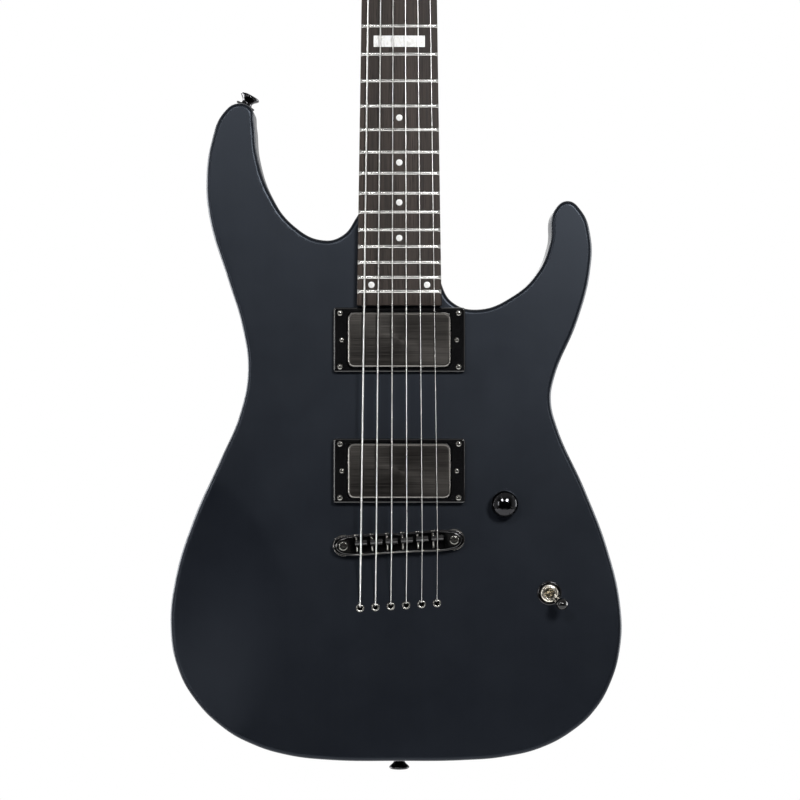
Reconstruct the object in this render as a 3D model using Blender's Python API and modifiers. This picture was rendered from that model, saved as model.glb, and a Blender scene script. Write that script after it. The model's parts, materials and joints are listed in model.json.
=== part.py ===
"""Solid-body electric guitar: bolt-on neck, 24 frets, two humbuckers, strings through the body.

Frame: metres. +Z runs up the neck, -Y is the front, +X is the treble side. The origin is the centre of the
flat end face of the lower strap button, so the whole guitar is above Z = 0.
"""

import math

import bmesh
import bpy
from mathutils import Matrix, Vector

MM = 0.001
GAP = 0.3 * MM  # clearance between touching pieces
SHARP_ANGLE = math.radians(32)  # edges that turn more than this stay sharp when shaded smooth

# ---- driving dimensions ---------------------------------------------------------------------------------
SCALE_LENGTH = 648 * MM
FRET_COUNT = 24
SCALE_END_Z = 168.2 * MM  # theoretical saddle line
NUT_Z = SCALE_END_Z + SCALE_LENGTH

BODY_THICKNESS = 44 * MM
FRONT_Y = -BODY_THICKNESS / 2
BACK_Y = BODY_THICKNESS / 2
BODY_EDGE_RADIUS = 3.2 * MM

BOARD_END_Z = 320.7 * MM
BOARD_THICKNESS = 6 * MM
BOARD_RADIUS = 350 * MM
NECK_PROUD = 4.5 * MM  # how far the neck wood stands above the body's front
NECK_TOP_Y = FRONT_Y - NECK_PROUD
BOARD_TOP_Y = NECK_TOP_Y - BOARD_THICKNESS
BOARD_HALF_AT_NUT = 21.5 * MM
BOARD_HALF_AT_END = 28.9 * MM
FRET_HEIGHT = 1.2 * MM
FRET_WIDTH = 2.7 * MM

POCKET_FLOOR_Y = -6 * MM
HEEL_TOP_Z = 396 * MM
NUT_THICKNESS = 4.5 * MM

HEAD_TILT = math.radians(11)
HEAD_THICKNESS = 14.5 * MM
HEAD_START_Z = NUT_Z + NUT_THICKNESS

STRING_DIAMETERS = [d * MM for d in (0.254, 0.330, 0.432, 0.660, 0.914, 1.168)]  # 1 is high E
STRING_COUNT = len(STRING_DIAMETERS)
HALF_SPREAD_BRIDGE = 26.1 * MM
HALF_SPREAD_NUT = 17.2 * MM
STRING_LIFT_NUT = 1.8 * MM  # string underside above the board
STRING_LIFT_BRIDGE = 4.6 * MM

BRIDGE_CENTRE = (-0.3 * MM, 158.4 * MM)  # X, Z
BRIDGE_SLANT = math.radians(3.2)  # the treble end is nearer the neck
POST_HALF_SPACING = 37.9 * MM
BRIDGE_LENGTH = 90 * MM
BRIDGE_WIDTH = 13.6 * MM
BRIDGE_BOTTOM_Y = -26.6 * MM
BRIDGE_TOP_Y = -33.0 * MM
CHANNEL_FLOOR_Y = -28.6 * MM
EYELET_ROW = (115 * MM, math.tan(math.radians(3.6)))  # Z at X = 0, rise per X

PICKUP_CENTRES = {"neck": 297.2 * MM, "bridge": 207.6 * MM}
PICKUP_TOPS = {"neck": -32.4 * MM, "bridge": -33.0 * MM}
RING_HEIGHTS = {"neck": 5.0 * MM, "bridge": 7.0 * MM}
RING_SIZE = (90.2 * MM, 44.3 * MM)
PICKUP_SIZE = (70.3 * MM, 37.6 * MM)
PICKUP_DEPTH = 19.5 * MM
ROUT_FLOOR_Y = -5 * MM

VOLUME_AT = (72 * MM, 185 * MM)
TOGGLE_AT = (103 * MM, 123.5 * MM)
TOGGLE_TILT = math.radians(23)
TOGGLE_HEADING = math.radians(-39)  # which way the lever leans at rest, from +X towards +Z
TOGGLE_PIVOT_Y = FRONT_Y + 1.0 * MM

JACK_Z = 104 * MM
JACK_FACE_X = 152.2 * MM
JACK_BORE_RADIUS = 3.3 * MM

STRAP_BUTTON_HEIGHT = 7.9 * MM
UPPER_BUTTON_AT = (-106.6 * MM, 460.3 * MM)
UPPER_BUTTON_HEADING = math.radians(62)  # from +X towards +Z

NEAREST_TUNER = (-20.0 * MM, 36 * MM)  # low E post on the headstock face: X, distance above the nut
TUNER_STEP = (6.34 * MM, 24.5 * MM)
POST_WAIST_RADIUS = 2.55 * MM
WORM_OFFSET = 6.75 * MM
WORM_DEPTH = 18.3 * MM  # below the headstock face

# Outlines are read round the shape in millimetres, as (X, Z).
BODY_OUTLINE = [
    (0, 7.9), (-50, 8.7), (-78, 12.2), (-101, 19.4), (-121, 30.5), (-141.5, 50.5), (-152.8, 71),
    (-158, 98), (-154.6, 132.5), (-141.6, 173.7), (-123, 214.8), (-109.6, 246), (-104, 276),
    (-108, 307), (-117.8, 339), (-130, 379), (-132.6, 406), (-128.8, 434.7), (-121.2, 453),
    (-111, 460), (-101.8, 456.6), (-99.6, 446), (-97.4, 424), (-88.3, 397), (-71.7, 375),
    (-52, 365.8), (-38.5, 369.6), (-28.6, 383), (-23, 391), (0, 393), (21, 388), (27.3, 375),
    (27.3, 350), (29.6, 334), (37, 322.8), (53.5, 318.2), (77.8, 327.3), (95.3, 344), (103.5, 364),
    (106.4, 386), (115.5, 392.8), (125.1, 386), (131.4, 369), (131.2, 345), (122.5, 310.7),
    (106.7, 272), (104.2, 256), (108.5, 237), (127.5, 194.3), (143.2, 153), (152.2, 112),
    (151.8, 86), (144.6, 60.4), (134, 42.5), (120.6, 29.8), (98, 17.2), (72, 10.8), (46, 8.5),
]
# The headstock's outline lies on its face: X, distance above the nut.
HEAD_OUTLINE = [
    (-21.2, -2), (-21.8, 4), (-26, 15), (-33.2, 25), (-34.4, 31), (-26, 62), (-15, 104), (-4, 146),
    (3.5, 172), (9, 182.5), (19, 186.5), (28, 180.5), (31.5, 167), (31, 150), (27, 110), (23.8, 60),
    (22, 20), (21.2, -2),
]
CONTROL_CAVITY = [(54, 205), (91, 205), (128, 152), (129, 92), (54, 92)]
LEDGE_WIDTH = 5.0 * MM  # width of the ledge that the control cover lies on
COVER_THICKNESS = 2.2 * MM

HIDDEN = bpy.data.collections.new("cutters")
PARTS = bpy.data.collections.new("electric_guitar")


# ---- helpers --------------------------------------------------------------------------------------------
def clear_scene():
    for obj in list(bpy.data.objects):
        bpy.data.objects.remove(obj)
    bpy.context.scene.collection.children.link(PARTS)
    bpy.context.scene.collection.children.link(HIDDEN)


def material(name, colour, roughness, metallic=0.0):
    found = bpy.data.materials.get(name)
    if found:
        return found
    made = bpy.data.materials.new(name)
    made.use_nodes = True
    shader = made.node_tree.nodes["Principled BSDF"]
    shader.inputs["Base Color"].default_value = (*colour, 1)
    shader.inputs["Roughness"].default_value = roughness
    shader.inputs["Metallic"].default_value = metallic
    made.diffuse_color = (*colour, 1)
    return made


def satin_black():
    return material("satin_black_lacquer", (0.022, 0.026, 0.034), 0.45)


def black_metal():
    return material("black_nickel", (0.03, 0.03, 0.032), 0.2, 1.0)


def black_plastic():
    return material("black_plastic", (0.012, 0.012, 0.013), 0.3)


def steel():
    return material("steel", (0.62, 0.61, 0.58), 0.25, 1.0)


def rosewood():
    return material("rosewood", (0.055, 0.040, 0.033), 0.55)


def bone():
    return material("bone", (0.05, 0.05, 0.05), 0.4)


def keep(obj, finish):
    """Files a finished sub-part under the guitar, with its material and smooth round faces."""
    for holder in list(obj.users_collection):
        holder.objects.unlink(obj)
    PARTS.objects.link(obj)
    obj.data.materials.clear()
    obj.data.materials.append(finish)
    if obj.type == "MESH":
        obj.data.shade_smooth()
        obj.data.set_sharp_from_angle(angle=SHARP_ANGLE)
    return obj


def hide(obj):
    """Files a cutter, or a shape that was joined into another, out of the render."""
    for holder in list(obj.users_collection):
        holder.objects.unlink(obj)
    HIDDEN.objects.link(obj)
    obj.hide_render = True
    obj.display_type = "WIRE"
    return obj


def new_mesh_object(name, build):
    """An object whose mesh is what build(bm) leaves in a bmesh, with its faces pointing out."""
    bm = bmesh.new()
    build(bm)
    bmesh.ops.recalc_face_normals(bm, faces=bm.faces)
    mesh = bpy.data.meshes.new(name)
    bm.to_mesh(mesh)
    bm.free()
    obj = bpy.data.objects.new(name, mesh)
    PARTS.objects.link(obj)
    return obj


def box(name, low, high):
    """A box between two corners."""
    low, high = Vector(low), Vector(high)
    size = high - low

    def build(bm):
        bmesh.ops.create_cube(bm, size=1)
        bmesh.ops.scale(bm, vec=size, verts=bm.verts)
        bmesh.ops.translate(bm, vec=(low + high) / 2, verts=bm.verts)

    return new_mesh_object(name, build)


def turn_to(axis):
    """The rotation that carries +Z to axis."""
    return Vector(axis).normalized().to_track_quat("Z", "Y").to_matrix().to_4x4()


def rod(name, start, end, radius, sides=16):
    """A cylinder from one point to another."""
    start, end = Vector(start), Vector(end)

    def build(bm):
        bmesh.ops.create_cone(
            bm, cap_ends=True, segments=sides, radius1=radius, radius2=radius, depth=(end - start).length
        )

    obj = new_mesh_object(name, build)
    obj.matrix_world = Matrix.Translation((start + end) / 2) @ turn_to(end - start)
    return obj


def turned(name, profile, sides=16):
    """A solid turned about local Z. The profile is (radius, height) pairs in mm, from the top down."""
    mesh = bpy.data.meshes.new(name)
    points = [(radius * MM, 0, height * MM) for radius, height in profile]
    mesh.from_pydata(points, [(i, i + 1) for i in range(len(points) - 1)], [])
    obj = bpy.data.objects.new(name, mesh)
    PARTS.objects.link(obj)
    screw = obj.modifiers.new("turn", "SCREW")
    screw.steps = screw.render_steps = sides
    screw.use_merge_vertices = True
    screw.merge_threshold = 0.00001
    return obj


def outline_object(name, points, thickness, corners=(), per_span=3):
    """A flat plate in local XY, centred on Z = 0, whose rim is a smooth curve through the points (mm).
    Points whose index is in corners keep a sharp corner."""
    data = bpy.data.curves.new(name, "CURVE")
    data.dimensions = "2D"
    data.fill_mode = "BOTH"
    data.extrude = thickness / 2
    data.resolution_u = per_span
    spline = data.splines.new("BEZIER")
    spline.bezier_points.add(len(points) - 1)
    for i, (at, (x, y)) in enumerate(zip(spline.bezier_points, points)):
        at.co = (x * MM, y * MM, 0)
        at.handle_left_type = at.handle_right_type = "VECTOR" if i in corners else "AUTO"
    spline.use_cyclic_u = True
    return as_mesh(bpy.data.objects.new(name, data))


def as_mesh(curve):
    """The same shape as a welded mesh, so that it can be cut or bevelled."""
    PARTS.objects.link(curve)
    bpy.context.view_layer.update()
    name = curve.name
    graph = bpy.context.evaluated_depsgraph_get()
    mesh = bpy.data.meshes.new_from_object(curve.evaluated_get(graph))
    place = curve.matrix_world.copy()
    bpy.data.objects.remove(curve)
    bm = bmesh.new()
    bm.from_mesh(mesh)
    bmesh.ops.remove_doubles(bm, verts=bm.verts, dist=0.000005)
    bmesh.ops.dissolve_limit(bm, angle_limit=math.radians(0.1), verts=bm.verts, edges=bm.edges)
    bmesh.ops.recalc_face_normals(bm, faces=bm.faces)
    bm.to_mesh(mesh)
    bm.free()
    obj = bpy.data.objects.new(name, mesh)
    obj.matrix_world = place
    PARTS.objects.link(obj)
    return obj


def facing_front(y):
    """Carries local XY to world XZ and local Z to -Y, at depth y."""
    return Matrix.Translation((0, y, 0)) @ Matrix.Rotation(math.radians(90), 4, "X")


def loft(name, rings):
    """A solid through rings of points that all have the same count."""

    def build(bm):
        made = [[bm.verts.new(p) for p in ring] for ring in rings]
        count = len(made[0])
        for low, high in zip(made, made[1:]):
            for i in range(count):
                j = (i + 1) % count
                bm.faces.new((low[i], low[j], high[j], high[i]))
        bm.faces.new(made[0])
        bm.faces.new(made[-1])

    return new_mesh_object(name, build)


def bevel(obj, width, segments=2, angle=50):
    rounding = obj.modifiers.new("rounding", "BEVEL")
    rounding.width = width
    rounding.segments = segments
    rounding.limit_method = "ANGLE"
    rounding.angle_limit = math.radians(angle)
    return obj


def boolean(target, other, operation):
    step = target.modifiers.new(f"{operation.lower()}_{other.name}", "BOOLEAN")
    step.operation = operation
    step.object = hide(other)
    step.solver = "EXACT"
    return target


def cut(target, *cutters):
    for cutter in cutters:
        boolean(target, cutter, "DIFFERENCE")
    return target


def join(target, *others):
    for other in others:
        boolean(target, other, "UNION")
    return target


def board_half(z):
    """Half the fingerboard's width at a height."""
    share = (z - BOARD_END_Z) / (NUT_Z - BOARD_END_Z)
    return BOARD_HALF_AT_END + share * (BOARD_HALF_AT_NUT - BOARD_HALF_AT_END)


def fret_z(number):
    return SCALE_END_Z + SCALE_LENGTH * 2 ** (-number / 12)


def crown(x):
    """How far the rounded fingerboard has dropped back at a distance from its middle."""
    return BOARD_RADIUS - math.sqrt(BOARD_RADIUS**2 - x**2)


def spread(number, half):
    """X of a string, from string 1 on the treble side to string 6 on the bass side."""
    return half * (1 - 2 * (number - 1) / (STRING_COUNT - 1))


def bridge_place(along, across=0.0):
    """World X and Z of a point on the slanted bridge."""
    c, s = math.cos(BRIDGE_SLANT), math.sin(BRIDGE_SLANT)
    return BRIDGE_CENTRE[0] + along * c - across * s, BRIDGE_CENTRE[1] + along * s + across * c


def saddle_line(number):
    """World X, Y and Z of the point where a string breaks over its saddle: Y is the string's underside."""
    across = (1.6 + 0.5 * (STRING_COUNT - number) / (STRING_COUNT - 1)) * MM
    x = spread(number, HALF_SPREAD_BRIDGE)
    z = bridge_place((x - BRIDGE_CENTRE[0]) / math.cos(BRIDGE_SLANT), across)[1]
    return x, BOARD_TOP_Y - STRING_LIFT_BRIDGE + crown(x), z


def nut_line(number):
    """World X, Y and Z of the point where a string leaves the nut: Y is the string's underside."""
    x = spread(number, HALF_SPREAD_NUT)
    return x, BOARD_TOP_Y - STRING_LIFT_NUT + crown(x), NUT_Z


def eyelet_at(number):
    """World X and Z of the hole that takes a string through the body."""
    x = spread(number, 26.4 * MM) - 0.5 * MM
    return x, EYELET_ROW[0] + x * EYELET_ROW[1]


def head_frame():
    """The headstock's own frame: X across, Y up its face, Z out of its face."""
    c, s = math.cos(HEAD_TILT), math.sin(HEAD_TILT)
    axes = Matrix(((1, 0, 0, 0), (0, s, -c, 0), (0, c, s, 0), (0, 0, 0, 1)))
    return Matrix.Translation((0, NECK_TOP_Y, HEAD_START_Z)) @ axes


def post_at(number):
    """Where a tuner's post stands on the headstock's face."""
    steps = STRING_COUNT - number
    return NEAREST_TUNER[0] + steps * TUNER_STEP[0], NEAREST_TUNER[1] + steps * TUNER_STEP[1]


def tuner_frame(number):
    """A tuner's frame: origin on the headstock face, Z along the post, X out along the button's shaft."""
    x, y = post_at(number)
    heading = math.atan2(TUNER_STEP[1], TUNER_STEP[0]) + math.radians(90)
    return head_frame() @ Matrix.Translation((x, y, 0)) @ Matrix.Rotation(heading, 4, "Z")


def holder(name, matrix):
    """An empty that carries the pieces of one mechanism."""
    empty = bpy.data.objects.new(name, None)
    empty.empty_display_size = 0.01
    PARTS.objects.link(empty)
    empty.matrix_world = matrix
    return empty


def carry(parent, obj, local=None):
    obj.parent = parent
    obj.matrix_local = local or Matrix.Identity(4)
    return obj


def along_x():
    """Turns local Z to the holder's X."""
    return Matrix.Rotation(math.radians(90), 4, "Y")


# ---- body -----------------------------------------------------------------------------------------------
def neck_screw_places():
    return [(x * MM, z * MM) for x in (-18.5, 18.5) for z in (327, 371)]


def make_body():
    body = outline_object("body", BODY_OUTLINE, BODY_THICKNESS, per_span=2)
    body.data.transform(facing_front(0))
    bevel(body, BODY_EDGE_RADIUS, segments=2)
    contours = [("arm_contour", (-192, 105), 400, 12.5, -1), ("belly_contour", (-136, 276), 260, 13, 1)]
    for name, (x, z), radius, depth, side in contours:
        cut(body, contour_cutter(name, x * MM, z * MM, radius * MM, depth * MM, side))
    cut(body, neck_pocket())
    for name, z in PICKUP_CENTRES.items():
        cut(body, *pickup_routs(name, z))
    cut(body, *control_cavity())
    channel_y = -9 * MM
    wire_runs = [("wire_run_pickups", (0, 300), (0, 205)), ("wire_run_controls", (25, 205), (62, 188))]
    for name, start, end in wire_runs:
        ends = [(x * MM, channel_y, z * MM) for x, z in (start, end)]
        cut(body, rod(name, *ends, 3.5 * MM, 10))
    for side in (-1, 1):
        x, z = bridge_place(side * POST_HALF_SPACING)
        cut(body, rod("post_hole", (x, FRONT_Y - 1 * MM, z), (x, -2 * MM, z), 3.4 * MM, 12))
    for number in range(1, STRING_COUNT + 1):
        x, z = eyelet_at(number)
        cut(body, rod("string_hole", (x, FRONT_Y - 1 * MM, z), (x, BACK_Y + 1 * MM, z), 1.5 * MM, 8))
        cut(body, rod("ferrule_seat", (x, 12 * MM, z), (x, BACK_Y + 1 * MM, z), 3.9 * MM, 12))
    for x, z in neck_screw_places():
        start, end = (x, POCKET_FLOOR_Y - 1 * MM, z), (x, BACK_Y + 1 * MM, z)
        cut(body, rod("neck_screw_hole", start, end, 2.6 * MM, 10))
    cut(
        body,
        rod("end_screw_hole", (0, 0, -1 * MM), (0, 0, 30 * MM), 2.3 * MM, 10),
        rod("horn_screw_hole", *upper_button_line(2 * MM, -23 * MM), 2.3 * MM, 10),
    )
    return keep(body, satin_black())


def contour_cutter(name, x, z, radius, depth, side):
    """A large ball that dishes one face of the body, side -1 for the front and 1 for the back."""

    def build(bm):
        bmesh.ops.create_uvsphere(bm, u_segments=64, v_segments=40, radius=radius)

    ball = new_mesh_object(name, build)
    ball.location = (x, side * (BODY_THICKNESS / 2 - depth + radius), z)
    return ball


def neck_pocket():
    """Open at the top and through the cutaways, where the fingerboard hides it."""
    rings = []
    for z in (BOARD_END_Z, HEEL_TOP_Z + 10 * MM):
        half = board_half(z) + GAP
        front, floor = FRONT_Y - 5 * MM, POCKET_FLOOR_Y
        rings.append([(-half, front, z), (half, front, z), (half, floor, z), (-half, floor, z)])
    return loft("neck_pocket", rings)


def pickup_routs(name, z):
    """A rout for the pickup and two deeper ears for its height screws."""
    half_x, half_z = 37.2 * MM, 20.4 * MM
    ear_x, ear_z = 43 * MM, 8 * MM
    front = FRONT_Y - 5 * MM
    main = box(f"{name}_pickup_rout", (-half_x, front, z - half_z), (half_x, ROUT_FLOOR_Y, z + half_z))
    ears = box(f"{name}_pickup_ears", (-ear_x, front, z - ear_z), (ear_x, ROUT_FLOOR_Y + 2 * MM, z + ear_z))
    return main, ears


def cavity_plate(name, thickness, grow):
    """The control cavity's outline, grown all round, as a plate in the body's plane."""
    corners = [Vector(corner) for corner in CONTROL_CAVITY]
    centre = sum(corners, Vector((0, 0))) / len(corners)
    points = [tuple(corner + (corner - centre).normalized() * grow / MM) for corner in corners]
    return outline_object(name, points, thickness, corners=range(len(points)), per_span=1)


def upright_corners(plate, radius, segments=3):
    """Rounds only the edges that run along local Z."""
    bm = bmesh.new()
    bm.from_mesh(plate.data)
    upright = [e for e in bm.edges if abs((e.verts[0].co - e.verts[1].co).normalized().z) > 0.9]
    bmesh.ops.bevel(bm, geom=upright, offset=radius, segments=segments, affect="EDGES", profile=0.5)
    bm.to_mesh(plate.data)
    bm.free()
    return plate


def control_cavity():
    """The rear cavity, the ledge for its cover, and the holes of what it holds."""
    deep_y = -16 * MM
    cavity = upright_corners(cavity_plate("control_cavity", BACK_Y + 5 * MM - deep_y, 0), 8 * MM)
    cavity.data.transform(facing_front((BACK_Y + 5 * MM + deep_y) / 2))
    ledge_floor = BACK_Y - COVER_THICKNESS - GAP
    ledge = upright_corners(cavity_plate("cover_ledge", 5 * MM, LEDGE_WIDTH + GAP), 10 * MM)
    ledge.data.transform(facing_front(ledge_floor + 2.5 * MM))
    x, z = VOLUME_AT
    volume = rod("volume_hole", (x, FRONT_Y - 1 * MM, z), (x, deep_y + 2 * MM, z), 4.4 * MM, 12)
    x, z = TOGGLE_AT
    toggle = rod("toggle_hole", (x, FRONT_Y - 1 * MM, z), (x, deep_y + 2 * MM, z), 6.3 * MM, 16)
    seat_x, outside_x, cavity_x = JACK_FACE_X - 9.3 * MM, JACK_FACE_X + 6 * MM, 125 * MM
    cup = rod("jack_cup_seat", (seat_x, 0, JACK_Z), (outside_x, 0, JACK_Z), 11.3 * MM, 24)
    bore = rod("jack_bore", (cavity_x, 0, JACK_Z), (JACK_FACE_X, 0, JACK_Z), 8.3 * MM, 16)
    return cavity, ledge, volume, toggle, cup, bore


def make_control_cover():
    cover = upright_corners(cavity_plate("control_cover", COVER_THICKNESS, LEDGE_WIDTH), 10 * MM)
    cover.data.transform(facing_front(BACK_Y - COVER_THICKNESS / 2))
    return keep(cover, black_plastic())


# ---- neck -----------------------------------------------------------------------------------------------
def neck_section(z, depth, squareness):
    """A D-shaped ring at a height: flat on top and rounded behind; a high squareness gives a block."""
    half = board_half(z)
    steps = 12
    ring = [(-half, NECK_TOP_Y, z)]
    for i in range(steps + 1):
        angle = math.pi * i / steps
        c, s = math.cos(angle), math.sin(angle)
        x = -half * math.copysign(abs(c) ** (2 / squareness), c)
        y = NECK_TOP_Y + 2.5 * MM + (depth - 2.5 * MM) * s ** (2 / squareness)
        ring.append((x, y, z))
    ring.append((half, NECK_TOP_Y, z))
    return ring


def make_neck():
    heel_depth = POCKET_FLOOR_Y - GAP - NECK_TOP_Y
    stations = [
        (392 * MM, heel_depth - 2 * MM, 4.5), (402 * MM, 18.2 * MM, 3.0), (414 * MM, 16.2 * MM, 2.4),
        (440 * MM, 15.4 * MM, 2.2), (560 * MM, 14.6 * MM, 2.2), (700 * MM, 13.9 * MM, 2.2),
        (790 * MM, 13.4 * MM, 2.2), (HEAD_START_Z - 14 * MM, 13.5 * MM, 2.4),
        (HEAD_START_Z - 5 * MM, 14.4 * MM, 3.4), (HEAD_START_Z + 1 * MM, 14.8 * MM, 6.0),
    ]
    neck = loft("neck", [neck_section(*station) for station in stations])
    heel = []
    for z in (BOARD_END_Z + GAP, HEEL_TOP_Z):
        half = board_half(z)
        heel.append([(-half, NECK_TOP_Y, z), (half, NECK_TOP_Y, z), (half, POCKET_FLOOR_Y - GAP, z),
                     (-half, POCKET_FLOOR_Y - GAP, z)])
    square_ends = (0, len(HEAD_OUTLINE) - 1)
    head = outline_object("headstock", HEAD_OUTLINE, HEAD_THICKNESS, square_ends, per_span=2)
    head.data.transform(head_frame() @ Matrix.Translation((0, 0, -HEAD_THICKNESS / 2)))
    join(neck, loft("heel", heel), head)
    low = (-60 * MM, NECK_TOP_Y - 20 * MM, 300 * MM)
    flush = box("board_seat", low, (60 * MM, NECK_TOP_Y, HEAD_START_Z))
    cut(neck, flush)
    rod_y = NECK_TOP_Y + 5 * MM
    rooms = [("rod_channel", 3.5, 3.6, 342, 812), ("rod_pocket", 6, 5.2, 811, 845)]
    for name, half, depth, low_z, high_z in rooms:
        low = (-half * MM, NECK_TOP_Y - 2 * MM, low_z * MM)
        cut(neck, box(name, low, (half * MM, rod_y + depth * MM, high_z * MM)))
    for x, z in neck_screw_places():
        cut(neck, rod("neck_screw_bore", (x, -21 * MM, z), (x, 0, z), 2.6 * MM, 10))
    for number in range(1, STRING_COUNT + 1):
        bore = rod("tuner_bore", (0, 0, -20 * MM), (0, 0, 5 * MM), 5.0 * MM, 14)
        bore.matrix_world = tuner_frame(number) @ bore.matrix_world
        cut(neck, bore)
    return keep(neck, satin_black())


def board_ring(z, bottom_y):
    """The fingerboard's cross-section: flat below and crowned on top."""
    half = board_half(z)
    steps = 4
    tops = [-half + 2 * half * i / steps for i in range(steps + 1)]
    return [(half, bottom_y, z), (-half, bottom_y, z)] + [(x, BOARD_TOP_Y + crown(x), z) for x in tops]


def fret_rings(number):
    """A fret's rings from the bass edge to the treble edge, rounded on top and sunk into the board."""
    z = fret_z(number)
    half = board_half(z) - 0.3 * MM
    rings = []
    shape = [(-0.5, -0.5), (-0.44, 0.5), (-0.17, 1), (0.17, 1), (0.44, 0.5), (0.5, -0.5)]
    for share in (-1, -0.95, -0.45, 0.45, 0.95, 1):
        x = half * share
        top = BOARD_TOP_Y + crown(x)
        lift = FRET_HEIGHT * (0.35 if abs(share) == 1 else 1)
        rings.append([(x, top - up * lift, z + across * FRET_WIDTH) for across, up in shape])
    return rings


def make_fingerboard():
    """The board with its frets pressed in, as one solid."""
    board = loft("fingerboard", [board_ring(z, NECK_TOP_Y - GAP) for z in (BOARD_END_Z, NUT_Z - GAP)])
    for number in range(1, FRET_COUNT + 1):
        join(board, loft("fret", fret_rings(number)))
    return keep(board, rosewood())


def make_nut():
    """The nut, arched like the board, with a slot for each string."""
    half = BOARD_HALF_AT_NUT
    bottom_y, top_y = NECK_TOP_Y - GAP, BOARD_TOP_Y - STRING_LIFT_NUT - 0.5 * MM
    xs = [-half + 2 * half * i / 6 for i in range(7)]
    rings = []
    for z in (NUT_Z, HEAD_START_Z - GAP):
        rings.append([(half, bottom_y, z), (-half, bottom_y, z)] + [(x, top_y + crown(x), z) for x in xs])
    nut = loft("nut", rings)
    for number, diameter in enumerate(STRING_DIAMETERS, start=1):
        x, y, z = nut_line(number)
        half_slot = diameter / 2 + GAP
        low = (x - half_slot, top_y - 3 * MM, z - 2 * MM)
        cut(nut, box("nut_slot", low, (x + half_slot, y + 1.5 * MM, z + 9 * MM)))
    return keep(nut, bone())


def make_truss_rod():
    y = NECK_TOP_Y + 5 * MM
    bar = rod("truss_rod", (0, y, 345 * MM), (0, y, 811.5 * MM), 3.0 * MM, 12)
    key = rod("truss_rod_nut", (0, y, 812 * MM), (0, y, 825 * MM), 4.2 * MM, 6)
    socket = rod("hex_socket", (0, y, 819 * MM), (0, y, 826 * MM), 2.4 * MM, 6)
    keep(bar, steel())
    keep(cut(key, socket), steel())


def make_truss_rod_cover():
    points = [(-8.5, 1.5), (8.5, 1.5), (10, 28), (6, 42), (-6, 42), (-10, 28)]
    cover = outline_object("truss_rod_cover", points, 1.8 * MM, corners=(0, 1), per_span=4)
    cover.data.transform(head_frame() @ Matrix.Translation((0, 0, 0.9 * MM + GAP)))
    return keep(cover, black_plastic())


def make_neck_plate():
    def build(bm):
        bmesh.ops.create_cube(bm, size=1)
        bmesh.ops.scale(bm, vec=(47 * MM, 56 * MM, 1.5 * MM), verts=bm.verts)

    plate = upright_corners(new_mesh_object("neck_plate", build), 6 * MM)
    plate.data.transform(Matrix.Translation((0, 0, 349 * MM)) @ facing_front(BACK_Y + GAP + 0.75 * MM))
    for x, z in neck_screw_places():
        cut(plate, rod("plate_hole", (x, BACK_Y - 1 * MM, z), (x, BACK_Y + 3 * MM, z), 2.6 * MM, 12))
    return keep(plate, black_metal())


def make_neck_screws():
    top_y = BACK_Y + GAP + 1.5 * MM + GAP
    for number, (x, z) in enumerate(neck_screw_places(), start=1):
        profile = [(0, 2.6), (2.4, 2.2), (4.0, 1.2), (4.3, 0), (2.2, 0), (2.2, -38), (0.8, -42), (0, -42)]
        screw = turned(f"neck_screw_{number}", profile, 12)
        screw.matrix_world = Matrix.Translation((x, top_y, z)) @ turn_to((0, 1, 0))
        keep(screw, black_metal())


# ---- bridge ---------------------------------------------------------------------------------------------
def bridge_frame():
    """X along the bridge towards the treble end, Z up the neck, Y the world's."""
    x, z = BRIDGE_CENTRE
    return Matrix.Translation((x, 0, z)) @ Matrix.Rotation(-BRIDGE_SLANT, 4, "Y")


def make_bridge():
    half_long, half_wide = BRIDGE_LENGTH / MM / 2, BRIDGE_WIDTH / MM / 2
    ends = [(half_long, 0), (half_long - 2.2, half_wide - 2.4), (half_long - 7, half_wide - 0.4)]
    rim = ends + [(0, half_wide)] + [(-x, y) for x, y in reversed(ends)]
    rim += [(-x, -y) for x, y in ends[1:]] + [(0, -half_wide)] + [(x, -y) for x, y in reversed(ends[1:])]
    height = BRIDGE_BOTTOM_Y - BRIDGE_TOP_Y
    base = outline_object("bridge_base", rim, height, per_span=3)
    base.data.transform(facing_front((BRIDGE_TOP_Y + BRIDGE_BOTTOM_Y) / 2))
    bevel(base, 1.0 * MM, segments=1)
    channel = box("saddle_channel", (-31.5 * MM, BRIDGE_TOP_Y - 5 * MM, -5.4 * MM),
                  (31.5 * MM, CHANNEL_FLOOR_Y, 5.4 * MM))
    cut(base, channel)
    for side in (-1, 1):
        x = side * POST_HALF_SPACING
        start, end = (x, BRIDGE_TOP_Y - 5 * MM, 0), (x, BRIDGE_BOTTOM_Y + 5 * MM, 0)
        cut(base, rod("post_socket", start, end, 3.5 * MM, 14))
    for cutter in (step.object for step in base.modifiers if step.type == "BOOLEAN"):
        cutter.matrix_world = bridge_frame() @ cutter.matrix_world
    base.matrix_world = bridge_frame()
    keep(base, black_metal())
    for name, side in (("bass", -1), ("treble", 1)):
        x, z = bridge_place(side * POST_HALF_SPACING)
        profile = [(0, 11.6), (2.6, 11.6), (3.1, 11.1), (3.1, 4.3), (7.2, 4.3), (7.5, 4.0), (7.5, 2.2),
                   (7.2, 1.9), (3.1, 1.9), (3.1, -18), (0, -18)]
        post = turned(f"bridge_post_{name}", profile, 14)
        post.matrix_world = Matrix.Translation((x, FRONT_Y, z)) @ turn_to((0, -1, 0))
        keep(post, black_metal())


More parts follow.
